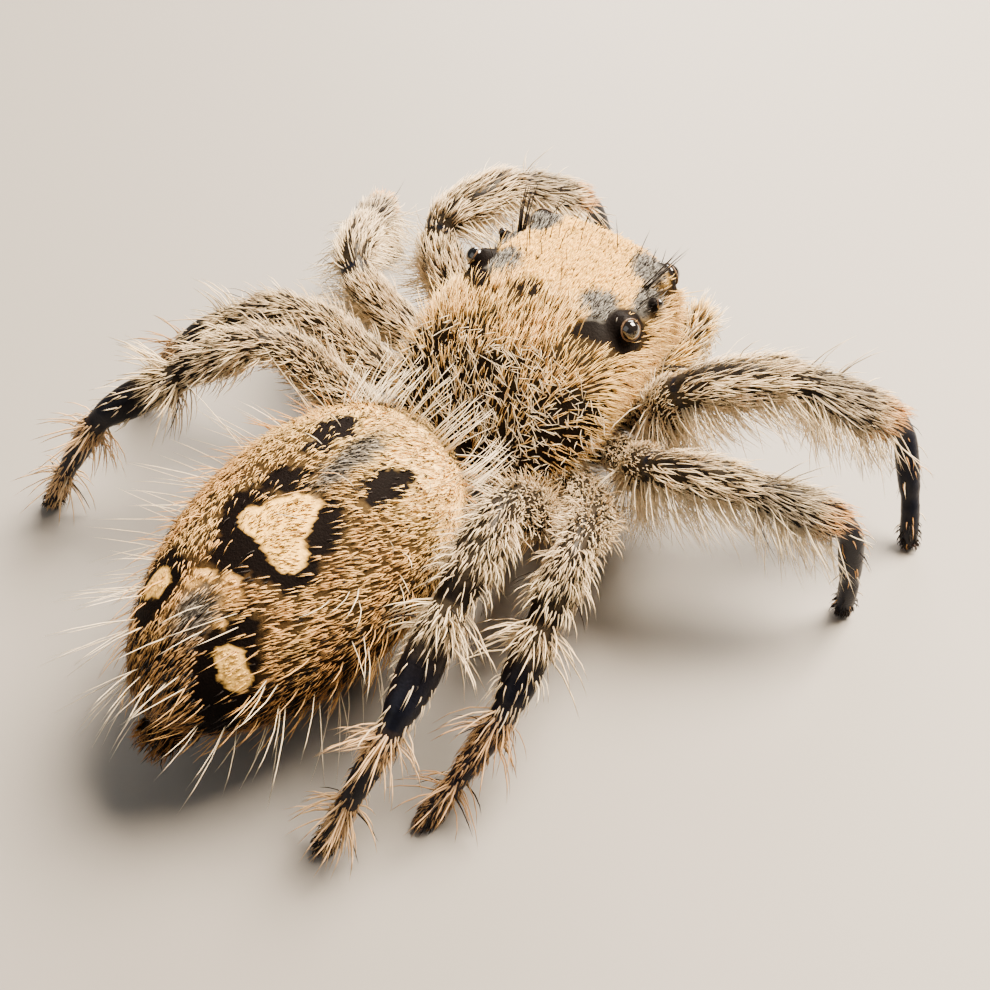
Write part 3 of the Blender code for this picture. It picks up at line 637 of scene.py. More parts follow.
def leg_corners(name):
    """The corners of a leg's centre line, from the breast plate to the foot."""
    side = 1.0 if name.endswith("L") else -1.0
    hip_x, hip_y = HIPS[int(name[3]) - 1]
    hip = np.array((side * hip_x, hip_y, HIP_Z))
    inner = np.array((side * COXA_INNER[0], BREAST_Y + (hip_y - BREAST_Y) * COXA_FAN, COXA_INNER[1]))
    knee, ankle, foot = (np.array(place) for place in POSE[name])
    femur_middle = (hip + knee) / 2.0 + unit(np.array(mirrored(FEMUR_BOW_LIE, side))) * FEMUR_BOW
    shin = knee + (ankle - knee) * SHIN_AT + np.array((0.0, 0.0, SHIN_BOW[name[3]]))
    away = unit((foot - hip) * np.array((1.0, 1.0, 0.0)))
    toe = ankle + (foot - ankle) * TOE_AT + away * TOE_BOW
    return [inner, hip, femur_middle, knee, shin, ankle, toe, foot]


def leg_line(name, count=150):
    """Evenly spaced points along a leg, and the value along the leg at each of them."""
    corners = leg_corners(name)
    points = [corners[0]]
    node_ends = []
    for k in range(1, len(corners) - 1):
        arriving = unit(corners[k] - corners[k - 1])
        leaving = unit(corners[k + 1] - corners[k])
        half_bend = math.acos(float(np.clip(arriving @ leaving, -1.0, 1.0))) / 2.0
        needed = BEND_RADIUS[k] * math.sin(half_bend) / math.cos(half_bend) ** 2
        neighbours = (corners[k - 1], corners[k + 1])
        shortest = min(np.linalg.norm(corners[k] - corner) for corner in neighbours)
        reach = min(max(CORNER_REACH[k], needed), 0.58 * shortest)
        start = corners[k] - arriving * reach
        end = corners[k] + leaving * reach
        for t in even(9):
            points.append(start * (1 - t) ** 2 + corners[k] * 2 * t * (1 - t) + end * t**2)
            if k in NODE_CORNERS and abs(t - 0.5) < 0.01:
                node_ends.append(len(points) - 1)
    points.append(corners[-1])
    points = np.array(points)
    runs = path_runs(points)
    marks = [0.0] + [runs[k] for k in node_ends] + [runs[-1]]
    at = np.linspace(0.0, runs[-1], count)
    return read_rows(at, runs, points), np.interp(at, marks, np.arange(len(marks), dtype=float))


def leg_radii(name, along):
    """Radii of a leg at values along it: some legs are stouter between the hip and the ankle."""
    profile = np.array(LEG_PROFILE)
    radii = np.interp(along, profile[:, 0], profile[:, 1])
    stout = LEG_STOUTNESS[name[3]]
    share = stretch(along, 0.9, 1.1, 2.9, 3.05)
    return radii * (1.0 + (stout - 1.0) * share)


def mirrored(point, side):
    """A left-side place, moved to the side asked for: 1 is left, -1 is right."""
    return (side * point[0], point[1], point[2])


def palp_line(side, count=60):
    """The centre line of a palp."""
    path = np.array([mirrored(place, side) for place in PALP_PATH])
    runs = path_runs(path)
    return smooth_curve(even(count), runs / runs[-1], path)


def body_forms():
    """All the overlapping forms that the skin is made of."""
    forms = [Form(HEAD, 64, 60, carapace_place), Form(ABDOMEN, 72, 60, abdomen_place)]
    for centre, half in UNDERSIDE:
        forms.append(Form(BELLY, 24, 20, round_place(centre, half, (0.0, 1.0, 0.0))))
    pedicel = np.linspace(PEDICEL[0], PEDICEL[1], 8)
    forms.append(Form(BELLY, 20, 8, tube_place(pedicel, np.full(8, PEDICEL_RADIUS))))
    for k in range(6):
        turn = math.radians(30 + 60 * k)
        offset = np.array((math.cos(turn), 0.0, math.sin(turn))) * SPINNERET_SPREAD
        start = np.array(SPINNERET_CENTRE) + offset * 0.8
        end = start + np.array((offset[0] * 0.3, SPINNERET_LENGTH, offset[2] * 0.3 - 0.18))
        cone = np.linspace(start, end, 8)
        forms.append(Form(BELLY, 12, 8, tube_place(cone, np.linspace(*SPINNERET_RADII, 8))))
    for side, limb in ((1, PALP_LEFT), (-1, PALP_RIGHT)):
        profile = np.array(PALP_PROFILE)
        line = palp_line(side)
        radii = np.interp(even(len(line)), profile[:, 0], profile[:, 1])
        forms.append(Form(limb, 20, 60, tube_place(line, radii)))
        for x, y, z, radius, look in EYES.values():
            back = unit(np.array(mirrored(look, side))) * radius * MOUND_DEPTH
            centre = np.array(mirrored((x, y, z), side)) - back
            mound = round_place(centre, (radius * MOUND_SIZE,) * 3, (0.0, -1.0, 0.0))
            forms.append(Form(HEAD, 20, 14, mound))
    for number, name in enumerate(LEG_NAMES):
        line, along = leg_line(name)
        place = tube_place(line, leg_radii(name, along), LEG_FLATNESS, along)
        forms.append(Form(FIRST_LEG + number, 22, 150, place))
    return forms


def patches(places, size, seed):
    """A soft random value from -1 to 1 that changes over about the size given, in millimetres."""
    draw = np.random.default_rng(seed)
    total = np.zeros(len(places))
    for _ in range(7):
        way = unit(draw.normal(size=3)) * (2.0 * np.pi / size) * draw.uniform(0.6, 1.5)
        total += np.sin(places @ way + draw.uniform(0.0, 2.0 * np.pi))
    return total / 3.2


def lump(p, q, centre, half, edge=0.12, wobble=0.0):
    """How far inside an oval mark a point is: 1 in its middle, 0 outside."""
    distance = np.hypot((p - centre[0]) / half[0], (q - centre[1]) / half[1]) + wobble
    return smooth_step(1.0 + edge, 1.0 - edge, distance)


def polygon_mark(p, q, corners, wobble):
    """How far inside a mark with straight sides a point is, with a soft edge."""
    inside = np.zeros(len(p), bool)
    nearest = np.full(len(p), 10.0)
    for (p0, q0), (p1, q1) in zip(corners, corners[1:] + corners[:1]):
        step_p = p1 - p0
        step_q = q1 - q0
        share = np.clip(((p - p0) * step_p + (q - q0) * step_q) / (step_p**2 + step_q**2), 0.0, 1.0)
        nearest = np.minimum(nearest, np.hypot(p - p0 - share * step_p, q - q0 - share * step_q))
        if step_q != 0.0:
            inside ^= ((q0 > q) != (q1 > q)) & (p < p0 + step_p * (q - q0) / step_q)
    return smooth_step(-0.05, 0.05, np.where(inside, nearest, -nearest) + wobble)


def polygon_marks(p, q, marks, wobble):
    """How far inside any of the marks a point is."""
    return np.max([polygon_mark(p, q, corners, wobble) for corners in marks], axis=0)


class Markings:
    """Colours and density of the coat at points of the skin; the skin and every coat piece read these."""

    def __init__(self, colours, limb, along, angle, places):
        self.palette = {key: np.array(getattr(colours, key)) for key in setting_names(colours)}
        self.limb = limb
        self.along = along
        self.angle = angle
        self.places = places
        count = len(limb)
        # The coat: its colour, the share of dark hairs, and how densely it stands
        self.tone = np.tile(self.palette["tan"], (count, 1))
        self.dark = np.full(count, 0.15)
        self.cover = np.ones(count)
        # Where other kinds of hair stand
        self.fans = np.zeros(count)
        self.stubble = np.zeros(count)
        self.fringe = np.zeros(count)
        self.spots = np.zeros(count)
        self.soft_spots = np.zeros(count)
        # The skin: its own colour, how much of the coat's colour it takes, and its shine
        self.skin = np.tile(self.palette["cuticle"], (count, 1))
        self.ground = np.full(count, 0.02)
        self.gloss = np.zeros(count)
        self.mark_head()
        self.mark_abdomen()
        self.mark_belly()
        self.mark_palps()
        self.mark_legs()

    def on(self, *limbs):
        """1 at the points of these parts of the body, 0 elsewhere."""
        return np.isin(self.limb, limbs).astype(float)

    def soften(self, share):
        """Let the coat's colour show on the skin, at least by this share."""
        self.ground = np.maximum(self.ground, share)

    def polish(self, share):
        """Let bare skin shine, at least by this share."""
        self.gloss = np.maximum(self.gloss, share)

    def thin_out(self, share):
        """Take away this share of the coat."""
        self.cover *= 1.0 - share

    def paint(self, share, colour):
        """Mix a colour of the palette into the coat."""
        self.tone += share[:, None] * (self.palette[colour] - self.tone)

    def mark_head(self):
        """A warm pale crown, grey and black patches by the eyes, and a thin coat at the waist."""
        here = self.on(HEAD)
        x, y, z = self.places.T
        side_x = np.abs(x)
        broad = patches(self.places, 1.3, 3)
        fine = patches(self.places, 0.45, 4)
        self.dark = np.where(here > 0.0, 0.03, self.dark)
        self.paint(here * (0.55 + 0.4 * smooth_step(-0.6, 1.0, broad + 0.5 * fine)), "cream")
        self.paint(here * 0.15 * smooth_step(0.0, 1.2, patches(self.places, 1.0, 14)), "orange")
        crown = here * smooth_step(4.25, 4.5, z) * smooth_step(-2.9, -3.4, y)
        self.paint(crown * 0.8, "cream")
        self.paint(crown, "spot")
        self.dark += 0.06 * crown
        flank = here * smooth_step(3.6, 2.6, z)
        self.paint(flank * 0.25, "brown")
        rear = smooth_step(-2.2, -1.3, y + 0.35 * broad)
        self.thin_out(0.88 * here * rear * smooth_step(1.3, 1.8, z))
        edge = 0.10 * fine + 0.05 * broad
        top = here * smooth_step(3.7, 3.9, z)
        grey = top * np.max([lump(y, side_x, *patch, 0.25, edge) for patch in GREY_PATCHES], axis=0)
        self.paint(grey, "grey")
        self.dark += grey * 0.35
        # The black patches run inwards from the rear eyes, at a slant, and a small one lies between them
        inward = (y + 2.88) * 0.6 - (side_x - 1.58) * 0.8
        across = (y + 2.88) * 0.8 + (side_x - 1.58) * 0.6
        black = top * lump(inward, across, (0.0, 0.0), (0.54, 0.20), 0.12, edge)
        black = np.maximum(black, top * lump(y, x, (-2.97, 0.22), (0.23, 0.42), 0.3, edge) * 0.85)
        for name, width in EYE_RINGS.items():
            ex, ey, ez, radius, _ = EYES[name]
            distance = np.sqrt((side_x - ex) ** 2 + (y - ey) ** 2 + (z - ez) ** 2)
            end = radius + width
            black = np.maximum(black, here * smooth_step(end + 0.08, end - 0.02, distance))
        self.thin_out(0.97 * black)
        self.soften(here * (1.0 - black) * (0.03 + 0.50 * crown + 0.35 * grey))
        self.polish(0.05 * black)

    def mark_abdomen(self):
        """A cream band in front, tan fur that darkens behind and low on the flanks, partly its own tone
        and partly painted shade, and pale spots in black marks. The place p runs backwards and q to the
        left over the curved back, in millimetres."""
        here = self.on(ABDOMEN)
        along = np.clip(self.along, -0.999, 0.999)
        roll = ABDOMEN_ROLL - ABDOMEN_UNROLL * np.clip(along, 0.0, 0.6)
        turn = np.mod(self.angle + roll + 180.0, 360.0) - 180.0
        p = along * ABDOMEN_HALF[1]
        q = np.radians(turn) * ABDOMEN_ARC * np.sqrt(1.0 - along**2)
        broad = patches(self.places, 1.1, 5)
        fine = patches(self.places, 0.30, 6)
        wobble = 0.09 * fine + 0.05 * broad
        # The band crosses the front, and the cap is the end that faces the waist, where shade is painted
        band = here * smooth_step(-1.55, -2.05, p + 0.25 * broad)
        shaded_cap = here * smooth_step(-0.84, -0.88, self.along)
        self.dark = np.where(here > 0.0, 0.02 + 0.03 * band, self.dark)
        # Over the top the skin takes a little of the coat's colour and low on the sides none, partly as
        # painted shade on the lower flanks
        self.soften(here * 0.07 * smooth_step(100.0, 50.0, np.abs(turn)))
        self.soften(0.95 * band)
        # Cream in front, tan in the middle, brown behind and low on the flanks: partly the coat's own tone,
        # partly painted shade on the rear and the lower flanks
        self.paint(here * smooth_step(-0.4, -2.2, p + 0.3 * broad), "cream")
        self.paint(here * 0.5 * smooth_step(-0.6, 0.9, broad), "cream")
        self.paint(here * smooth_step(1.6, 3.8, p + 0.3 * broad) * 0.7, "brown")
        low = smooth_step(45.0, 90.0, np.abs(turn)) * smooth_step(-1.6, 0.6, p)
        self.paint(here * np.maximum(low, smooth_step(85.0, 130.0, np.abs(turn))) * 0.85, "brown")
        # More dark hairs low on the flanks and behind, and no coat colour on the skin at the rear: painted
        # shade, with some of the coat's own darker tone
        self.dark += here * 0.34 * np.maximum(low, smooth_step(2.3, 3.5, p))
        self.ground *= 1.0 - here * smooth_step(2.3, 3.3, p)
        # Painted shade on the cap where it faces the waist: a thinner coat over black skin, more dark
        # hairs, and skin without the coat's colour
        self.thin_out(0.4 * shaded_cap)
        self.dark += 0.35 * shaded_cap
        self.ground *= 1.0 - 0.8 * shaded_cap
        # Behind the band the fur is a little thinner, in small patches
        thin = here * smooth_step(-1.8, -0.4, p) * (0.5 + 0.5 * smooth_step(-0.8, 0.6, fine))
        self.thin_out(0.30 * thin)
        black = here * polygon_marks(p, q, BLACK_MARKS, wobble)
        # No coat colour shows on the skin in or next to a black mark
        halo = here * polygon_marks(p, q, BLACK_MARKS, wobble + 0.10)
        self.thin_out(0.93 * black)
        self.dark += 0.20 * halo
        self.ground *= 1.0 - halo
        # A grey streak along the middle, and a grey patch between the rear spots
        grey = here * np.maximum(lump(p, q, (-1.60, -0.06), (1.05, 0.24), 0.4, wobble * 2.0),
                                 lump(p, q, (2.25, -0.08), (0.45, 0.40), 0.4, wobble * 2.0))
        self.paint(grey * 0.9, "grey")
        self.dark += grey * 0.25
        self.ground += grey * (0.45 - self.ground)
        soft = here * polygon_marks(p, q, SOFT_SPOTS, wobble * 0.8)
        self.paint(soft, "tan")
        self.paint(soft * 0.35, "spot")
        self.dark *= 1.0 - soft
        self.cover = np.maximum(self.cover, soft)
        self.soft_spots = soft
        self.soften(0.8 * soft)
        self.spots = here * polygon_marks(p, q, SPOTS, wobble * 0.35)
        self.paint(self.spots, "spot")
        self.dark *= 1.0 - self.spots
        self.cover = np.maximum(self.cover, self.spots)
        self.soften(smooth_step(0.3, 0.8, self.spots))

    def mark_belly(self):
        """A thin dark coat below, thicker and paler on the spinnerets."""
        here = self.on(BELLY)
        rear = here * smooth_step(7.4, 7.8, self.places[:, 1])
        self.paint(here * (0.5 + 0.4 * rear), "brown")
        self.dark += here * (0.45 - 0.25 * rear)
        self.thin_out(0.5 * here * (1.0 - rear))

    def mark_palps(self):
        """Pale palps whose hair parts at the joints."""
        here = self.on(PALP_LEFT, PALP_RIGHT)
        self.paint(here, "cream")
        self.dark = np.where(here > 0.0, 0.05, self.dark)
        for start in (0.37, 0.58, 0.76):
            joint = here * lump(self.along, self.along * 0.0, (start, 0.0), (0.02, 1.0), 0.4)
            self.thin_out(0.7 * joint)

    def mark_legs(self):
        """Pale legs with black rings and feet; only the front ones have streaks and a fringe."""
        here = (self.limb >= FIRST_LEG).astype(float)
        front = self.on(*(FIRST_LEG + k for k, name in enumerate(LEG_NAMES) if name[3] in "12"))
        third = self.on(*(FIRST_LEG + k for k, name in enumerate(LEG_NAMES) if name[3] == "3"))
        back = here - front
        broad = patches(self.places, 0.9, 8)
        fine = patches(self.places, 0.3, 9)
        a = self.along + 0.02 * fine
        self.dark = np.where(here > 0.0, 0.05 + 0.10 * smooth_step(0.0, 0.9, fine), self.dark)
        self.paint(here * 0.8 * smooth_step(-0.8, 0.7, broad + 0.5 * fine), "cream")
        self.paint(here * 0.72, "setae")
        # Black rings at the ends of the segments of the rear legs
        femur_end = stretch(a, 1.60, 1.80, 1.94, 1.97)
        knee_end = stretch(a, 2.36, 2.42, 2.46, 2.47)
        shin_end = stretch(a, 2.69, 2.75, 2.98, 2.995)
        ankle = stretch(a, 3.26, 3.34, 3.55, 3.56)
        toe = smooth_step(3.75, 3.9, a)
        rings = (knee_end * 0.8, shin_end * 0.93, ankle * 0.85, toe * 0.4, femur_end * 0.15)
        bare = back * np.maximum.reduce(rings)
        # The third legs keep more hair on their feet, and the front legs lose nearly all of it
        bare *= 1.0 - 0.75 * third * smooth_step(2.9, 3.0, a)
        bare = np.maximum(bare, front * smooth_step(2.985, 3.02, a) * 0.97)
        bare = np.maximum(bare, here * 0.15 * smooth_step(1.0, 0.7, self.along))
        # Two thin bare streaks along the knee plates of the front legs, and bare flecks on their tibiae
        swing = 8.0 * np.sin(self.along * 23.0)
        for line in (40.0, 320.0):
            streak = smooth_step(13.0, 6.0, np.abs(self.angle - line - swing))
            streak = streak * smooth_step(2.02, 2.04, self.along) * smooth_step(2.34, 2.26, self.along)
            bare = np.maximum(bare, front * 0.9 * streak)
        gaps = front * stretch(self.along, 2.40, 2.50, 2.70, 2.80)
        bare = np.maximum(bare, gaps * 0.75 * smooth_step(0.25, 0.9, fine))
        for joint, reach in JOINT_GAPS:
            parted = front if joint == 2.0 else here
            gap = smooth_step(reach, reach * 0.6, np.abs(self.along - joint))
            bare = np.maximum(bare, parted * 0.95 * gap)
        self.thin_out(bare)
        self.paint(gaps * 0.45, "grey")
        self.paint(front * smooth_step(2.74, 2.90, a) * 0.8, "orange")
        self.paint(back * smooth_step(2.98, 3.05, a) * 0.45, "orange")
        self.paint(third * smooth_step(2.98, 3.05, a) * 0.55, "brown")
        for start, length in FANS:
            fan = stretch(a, start - 0.02, start, start + length * 0.6, start + length)
            self.fans = np.maximum(self.fans, here * fan)
        self.stubble = back * stretch(a, 1.15, 1.40, 2.36, 2.46)
        self.fans *= 1.0 - front * smooth_step(2.95, 3.0, a)
        self.fringe = front * stretch(a, 1.30, 1.60, 2.90, 2.98)
        # Bare skin turns black and shiny towards the feet, and in a line over the front knees; its blue
        # tint is a painted reflection
        feet = here * smooth_step(2.6, 3.0, self.along)
        knee = front * smooth_step(0.014, 0.008, np.abs(self.along - 2.0))
        self.skin += np.maximum(feet, knee)[:, None] * (self.palette["foot"] - self.skin)
        self.polish(here * 0.20)
        self.polish(feet * (0.35 + 0.3 * front))
        self.polish(knee * 0.5)

    def skin_colour(self):
        """Bare skin that takes the coat's colour where the coat is thick and pale."""
        share = (self.ground * self.cover * (1.0 - np.clip(self.dark, 0.0, 1.0)))[:, None]
        return self.skin * (1.0 - share) + self.tone * share


def add_colour(mesh, colours, gloss=1.0):
    """A colour for each vertex, kept as an attribute that the material reads; its alpha is the gloss."""
    attribute = mesh.color_attributes.new(name="marking", type="FLOAT_COLOR", domain="POINT")
    whole = np.ones((len(mesh.vertices), 4))
    whole[:, :3] = colours
    whole[:, 3] = gloss
    attribute.data.foreach_set("color", whole.ravel())


def set_sockets(tree, node, **values):
    """Give a node's sockets plain values, or link them to another socket or to a node's first output."""
    for name, value in values.items():
        socket = node.inputs[name.replace("_", " ")]
        if isinstance(value, bpy.types.Node):
            value = value.outputs[0]
        if isinstance(value, bpy.types.NodeSocket):
            tree.links.new(value, socket)
        else:
            socket.default_value = value


def add_node(tree, kind, settings=None, **values):
    """A node with its settings, and the values or links of its sockets."""
    node = tree.nodes.new(kind)
    for name, value in (settings or {}).items():
        setattr(node, name, value)
    set_sockets(tree, node, **values)
    return node


def new_material(name):
    """An empty material: its tree, its Principled shader, and the coordinates that its patterns read."""
    material = bpy.data.materials.new(name)
    material.use_nodes = True
    tree = material.node_tree
    tree.nodes.clear()
    shader = add_node(tree, "ShaderNodeBsdfPrincipled")
    add_node(tree, "ShaderNodeOutputMaterial", Surface=shader)
    place = add_node(tree, "ShaderNodeTexCoord").outputs["Object"]
    return material, tree, shader, place


def per_millimetre(count):
    """The scale of a pattern on Object coordinates, in metres, that repeats count times a millimetre."""
    return count / MM


def mottled(tree, place, colour, count, detail, span, shades):
    """A colour that a pattern of count grains to the millimetre makes lighter and darker in patches."""
    scale = per_millimetre(count)
    grain = add_node(tree, "ShaderNodeTexNoise", Vector=place, Scale=scale, Detail=detail)
    strength = add_node(
        tree, "ShaderNodeMapRange", Value=grain, From_Min=span[0], From_Max=span[1], To_Min=shades[0],
        To_Max=shades[1],
    )
    return add_node(tree, "ShaderNodeVectorMath", {"operation": "SCALE"}, Vector=colour, Scale=strength)


def drifting(tree, place, count, detail, start, low, end, high):
    """Two sRGB colours that drift into each other, count times to the millimetre."""
    scale = per_millimetre(count)
    drift = add_node(tree, "ShaderNodeTexNoise", Vector=place, Scale=scale, Detail=detail)
    ramp = add_node(tree, "ShaderNodeValToRGB", Fac=drift)
    for element, position, colour in zip(ramp.color_ramp.elements, (start, end), (low, high)):
        element.position = position
        element.color = (*linear(colour), 1.0)
    return ramp


def wrinkled(tree, place, count, detail, strength, depth):
    """Wrinkles in the surface, count of them to the millimetre and some millimetres deep."""
    scale = per_millimetre(count)
    ridges = add_node(tree, "ShaderNodeTexNoise", Vector=place, Scale=scale, Detail=detail)
    return add_node(tree, "ShaderNodeBump", Height=ridges, Strength=strength, Distance=depth * MM)


def skin_material():
    """Arthropod cuticle, chitin hardened in place: dark, waxy and finely wrinkled. A marking's alpha is
    its shine, which comes from a coat of wax that black marks go without."""
    material, tree, shader, place = new_material("cuticle_with_short_hair")
    marking = add_node(tree, "ShaderNodeAttribute", {"attribute_name": "marking"}).outputs
    shine = marking["Alpha"]
    set_sockets(
        tree,
        shader,
        Base_Color=mottled(tree, place, marking["Color"], 14.0, 3.0, (0.30, 0.70), (0.75, 1.2)),
        Normal=wrinkled(tree, place, 22.0, 2.0, 0.5, 0.03),
        Roughness=add_node(tree, "ShaderNodeMapRange", Value=shine, To_Min=0.75, To_Max=0.24),
        Coat_Weight=add_node(tree, "ShaderNodeMapRange", Value=shine, To_Min=0.0, To_Max=0.6),
        Coat_Roughness=0.28,
        Specular_IOR_Level=0.04,
        IOR=1.56,
    )
    return material


def hair_material():
    """Chitin hair: each is smooth and a little waxy, lit along its edge, and darker at its root, where
    shade is painted into the marking's colour.
    """
    material, tree, shader, place = new_material("hair_chitin_matt")
    marking = add_node(tree, "ShaderNodeAttribute", {"attribute_name": "marking"}).outputs
    set_sockets(
        tree,
        shader,
        Base_Color=mottled(tree, place, marking["Color"], 9.0, 2.0, (0.25, 0.75), (0.8, 1.15)),
        Roughness=0.60,
        Sheen_Weight=0.05,
        Sheen_Roughness=0.4,
        Specular_IOR_Level=0.16,
        IOR=1.55,
    )
    return material


def lens_material():
    """Eye lens, clear cuticle over a dark cup: reads as wet black glass with a faint brown depth."""
    material, tree, shader, place = new_material("eye_lens_cuticle")
    depth = drifting(tree, place, 2.2, 1.0, 0.35, "050506", 0.75, "17110C")
    set_sockets(
        tree, shader, Base_Color=depth, Roughness=0.06, IOR=1.52, Coat_Weight=1.0, Coat_Roughness=0.02
    )
    return material


def jaw_material():
    """Jaw cuticle, layered chitin that reflects green: a dark metal sheen, pitted and wrinkled across."""
    material, tree, shader, place = new_material("jaw_cuticle_green")
    green = drifting(tree, place, 1.1, 2.0, 0.34, "0A332E", 0.66, "185230")
    wrinkles = wrinkled(tree, place, 12.0, 3.0, 0.9, 0.04)
    set_sockets(tree, shader, Base_Color=green, Normal=wrinkles, Metallic=0.70, Roughness=0.34)
    return material


def claw_material():
    """Fang and claw, the hardest cuticle: dark red-brown and polished."""
    material, tree, shader, place = new_material("claw_cuticle_brown")
    brown = drifting(tree, place, 8.0, 2.0, 0.0, "120806", 1.0, "3A170D")
    set_sockets(tree, shader, Base_Color=brown, Roughness=0.16, IOR=1.56)
    return material


def floor_material(colour):
    """Matt painted board, rolled: a plain pale floor with hardly any grain."""
    material, tree, shader, place = new_material("painted_board_matt")
    rolled = wrinkled(tree, place, 1.5, 2.0, 0.05, 0.05)
    set_sockets(tree, shader, Normal=rolled, Base_Color=(*colour, 1.0), Roughness=0.6)
    return material


def finish_piece(thing, name, material, replaced=()):
    """Name, finish and hang a piece, and hide the CAD nodes that it stands for."""
    thing.name = name
    thing.data.name = name
    thing.data.materials.clear()
    thing.data.materials.append(material)
    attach(thing, "root")
    if replaced:
        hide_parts(*replaced)


def flesh_nodes():
    """The CAD nodes that the skin stands for."""
    kept = ("eye_", "chelicera_", "fang_")
    return [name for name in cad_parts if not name.startswith(kept)]


# What each point of the skin knows: its kind of attribute, the field that holds it, and its numbers
SKIN_FIELDS = {
    "limb": ("INT", "value", 1),
    "along": ("FLOAT", "value", 1),
    "angle": ("FLOAT", "value", 1),
    "lie": ("FLOAT_VECTOR", "vector", 3),
}


class SPIDER_OT_skin(Operator):
    """Joins the forms of the body into one skin without seams, unwraps it and marks it"""

    bl_idname = "spider.skin"
    bl_label = "Skin"

    def execute(self, context):
        settings = context.scene.spider_skin
        forms = body_forms()
        skin = join([form.thing for form in forms])
        remesh = skin.modifiers.new("one_skin", "REMESH")
        remesh.mode = "VOXEL"
        remesh.voxel_size = settings.voxel / MM
        smooth = skin.modifiers.new("soft_joins", "SMOOTH")
        smooth.factor = 0.5
        smooth.iterations = settings.smoothing
        for modifier in ("one_skin", "soft_joins"):
            bpy.ops.object.modifier_apply(modifier=modifier)
        if len(skin.data.vertices) < 1000:
            raise RuntimeError("the skin came out empty")
        bpy.ops.object.shade_smooth()

        known = {}
        for key in ("points", *SKIN_FIELDS):
            known[key] = np.concatenate([getattr(form, key) for form in forms])
        places = vertex_places(skin)
        places[:, 2] = np.maximum(places[:, 2], LOWEST)
        nearest = nearest_in(point_tree(known["points"]), places)
        known = {key: values[nearest] for key, values in known.items()}
        egg = known["limb"] == ABDOMEN
        units = egg_units(places[egg])
        known["along"][egg] = units[:, 1]
        known["angle"][egg] = np.degrees(np.arctan2(units[:, 0], units[:, 2]))
        mesh = skin.data
        for key, (kind, field, _) in SKIN_FIELDS.items():
            attribute = mesh.attributes.new(name=key, type=kind, domain="POINT")
            attribute.data.foreach_set(field, known[key].ravel())
        colours = context.scene.spider_colours
        marks = Markings(colours, known["limb"], known["along"], known["angle"], places)
        add_colour(mesh, marks.skin_colour(), marks.gloss)
        move_vertices(skin, to_model(places))

        bpy.ops.object.mode_set(mode="EDIT")
        bpy.ops.mesh.select_all(action="SELECT")
        bpy.ops.uv.smart_project(angle_limit=math.radians(66.0), island_margin=0.001)
        bpy.ops.object.mode_set(mode="OBJECT")
        mesh.uv_layers.active.name = "OFBake"
        finish_piece(skin, "skin", skin_material(), flesh_nodes())
        return {"FINISHED"}


class SkinSampler:
    """The skin as arrays, for roots of hairs that are drawn at random over it."""

    def __init__(self, context):
        skin = bpy.data.objects.get("skin")
        if skin is None:
            raise RuntimeError("make the skin first")
        mesh = skin.data
        mesh.calc_loop_triangles()
        triangles = mesh.loop_triangles
        self.corners = read_numbers(triangles, "vertices", 3, np.int64)
        uv = read_numbers(mesh.uv_layers["OFBake"].data, "uv", 2)
        self.uv = uv[read_numbers(triangles, "loops", 3, np.int64)]
        self.places = vertex_places(skin) / MM - CENTRE_SHIFT
        self.normals = read_numbers(mesh.vertex_normals, "vector", 3)
        for key, (kind, field, width) in SKIN_FIELDS.items():
            number = int if kind == "INT" else float
            setattr(self, key, read_numbers(mesh.attributes[key].data, field, width, number))
        colours = context.scene.spider_colours
        self.marks = Markings(colours, self.limb, self.along, self.angle, self.places)
        self.on = self.marks.on
        a, b, c = (self.places[self.corners[:, k]] for k in range(3))
        self.areas = np.linalg.norm(np.cross(b - a, c - a), axis=1) / 2.0
        self.tree = point_tree(self.places)
        settings = context.scene.spider_coat
        self.share = settings.density
        self.width, self.bristle, self.margin = (
            length / MM for length in (settings.width, settings.bristle, settings.margin)
        )

    def scatter(self, density, draw):
        """Roots of hairs, where density is the number of hairs per square millimetre at each vertex."""
        expected = density[self.corners].mean(axis=1) * self.areas
        total = int(round(expected.sum()))
        if total < 1:
            raise RuntimeError("this coat has no hair")
        chosen = draw.choice(len(expected), total, p=expected / expected.sum())
        share = draw.random((total, 2))
        over = share.sum(axis=1) > 1.0
        share[over] = 1.0 - share[over]
        weights = np.stack([1.0 - share.sum(axis=1), share[:, 0], share[:, 1]], axis=1)
        corners = self.corners[chosen]
        nearest = corners[np.arange(total), weights.argmax(axis=1)]
        blend = weights[:, :, None]
        return Roots(
            (self.places[corners] * blend).sum(axis=1),
            unit((self.normals[corners] * blend).sum(axis=1)),
            self.lie[nearest],
            (self.uv[chosen] * blend).sum(axis=1),
            nearest,
        )


@dataclass
class Roots:
    """Where hairs stand: place, normal, lie, place on the unwrap, and the nearest vertex of the skin."""

    places: Any
    normals: Any
    lie: Any
    uv: Any
    nearest: Any


@dataclass
class Hair:
    """One layer of a coat. Lengths and widths are in millimetres; length and rise may differ by vertex."""

    density: Any  # hairs on a square millimetre, at each vertex of the skin
    length: Any
    width: float  # at the root
    rise: Any  # degrees from the skin at the root
    spread: float = 0.3  # share by which lengths differ
    flatness: float = 0.8  # thickness as a share of the width
    curl: float = 0.4  # share of the rise that is lost towards the tip
    turn: float = 14.0  # degrees by which hairs stray from the lie
    steps: int = 3
    # share of the tip's colour kept at the root: the darker root is painted shade between the hairs
    painted_root_shade: float = 0.42
    vary: float = 0.20  # share by which colours differ
    colour: str = ""  # a colour of the palette in place of the marking's
    lie: Any = None  # a function for a lie of its own
    keep: Any = None  # share kept where the tips come down, so that bare marks stay bare


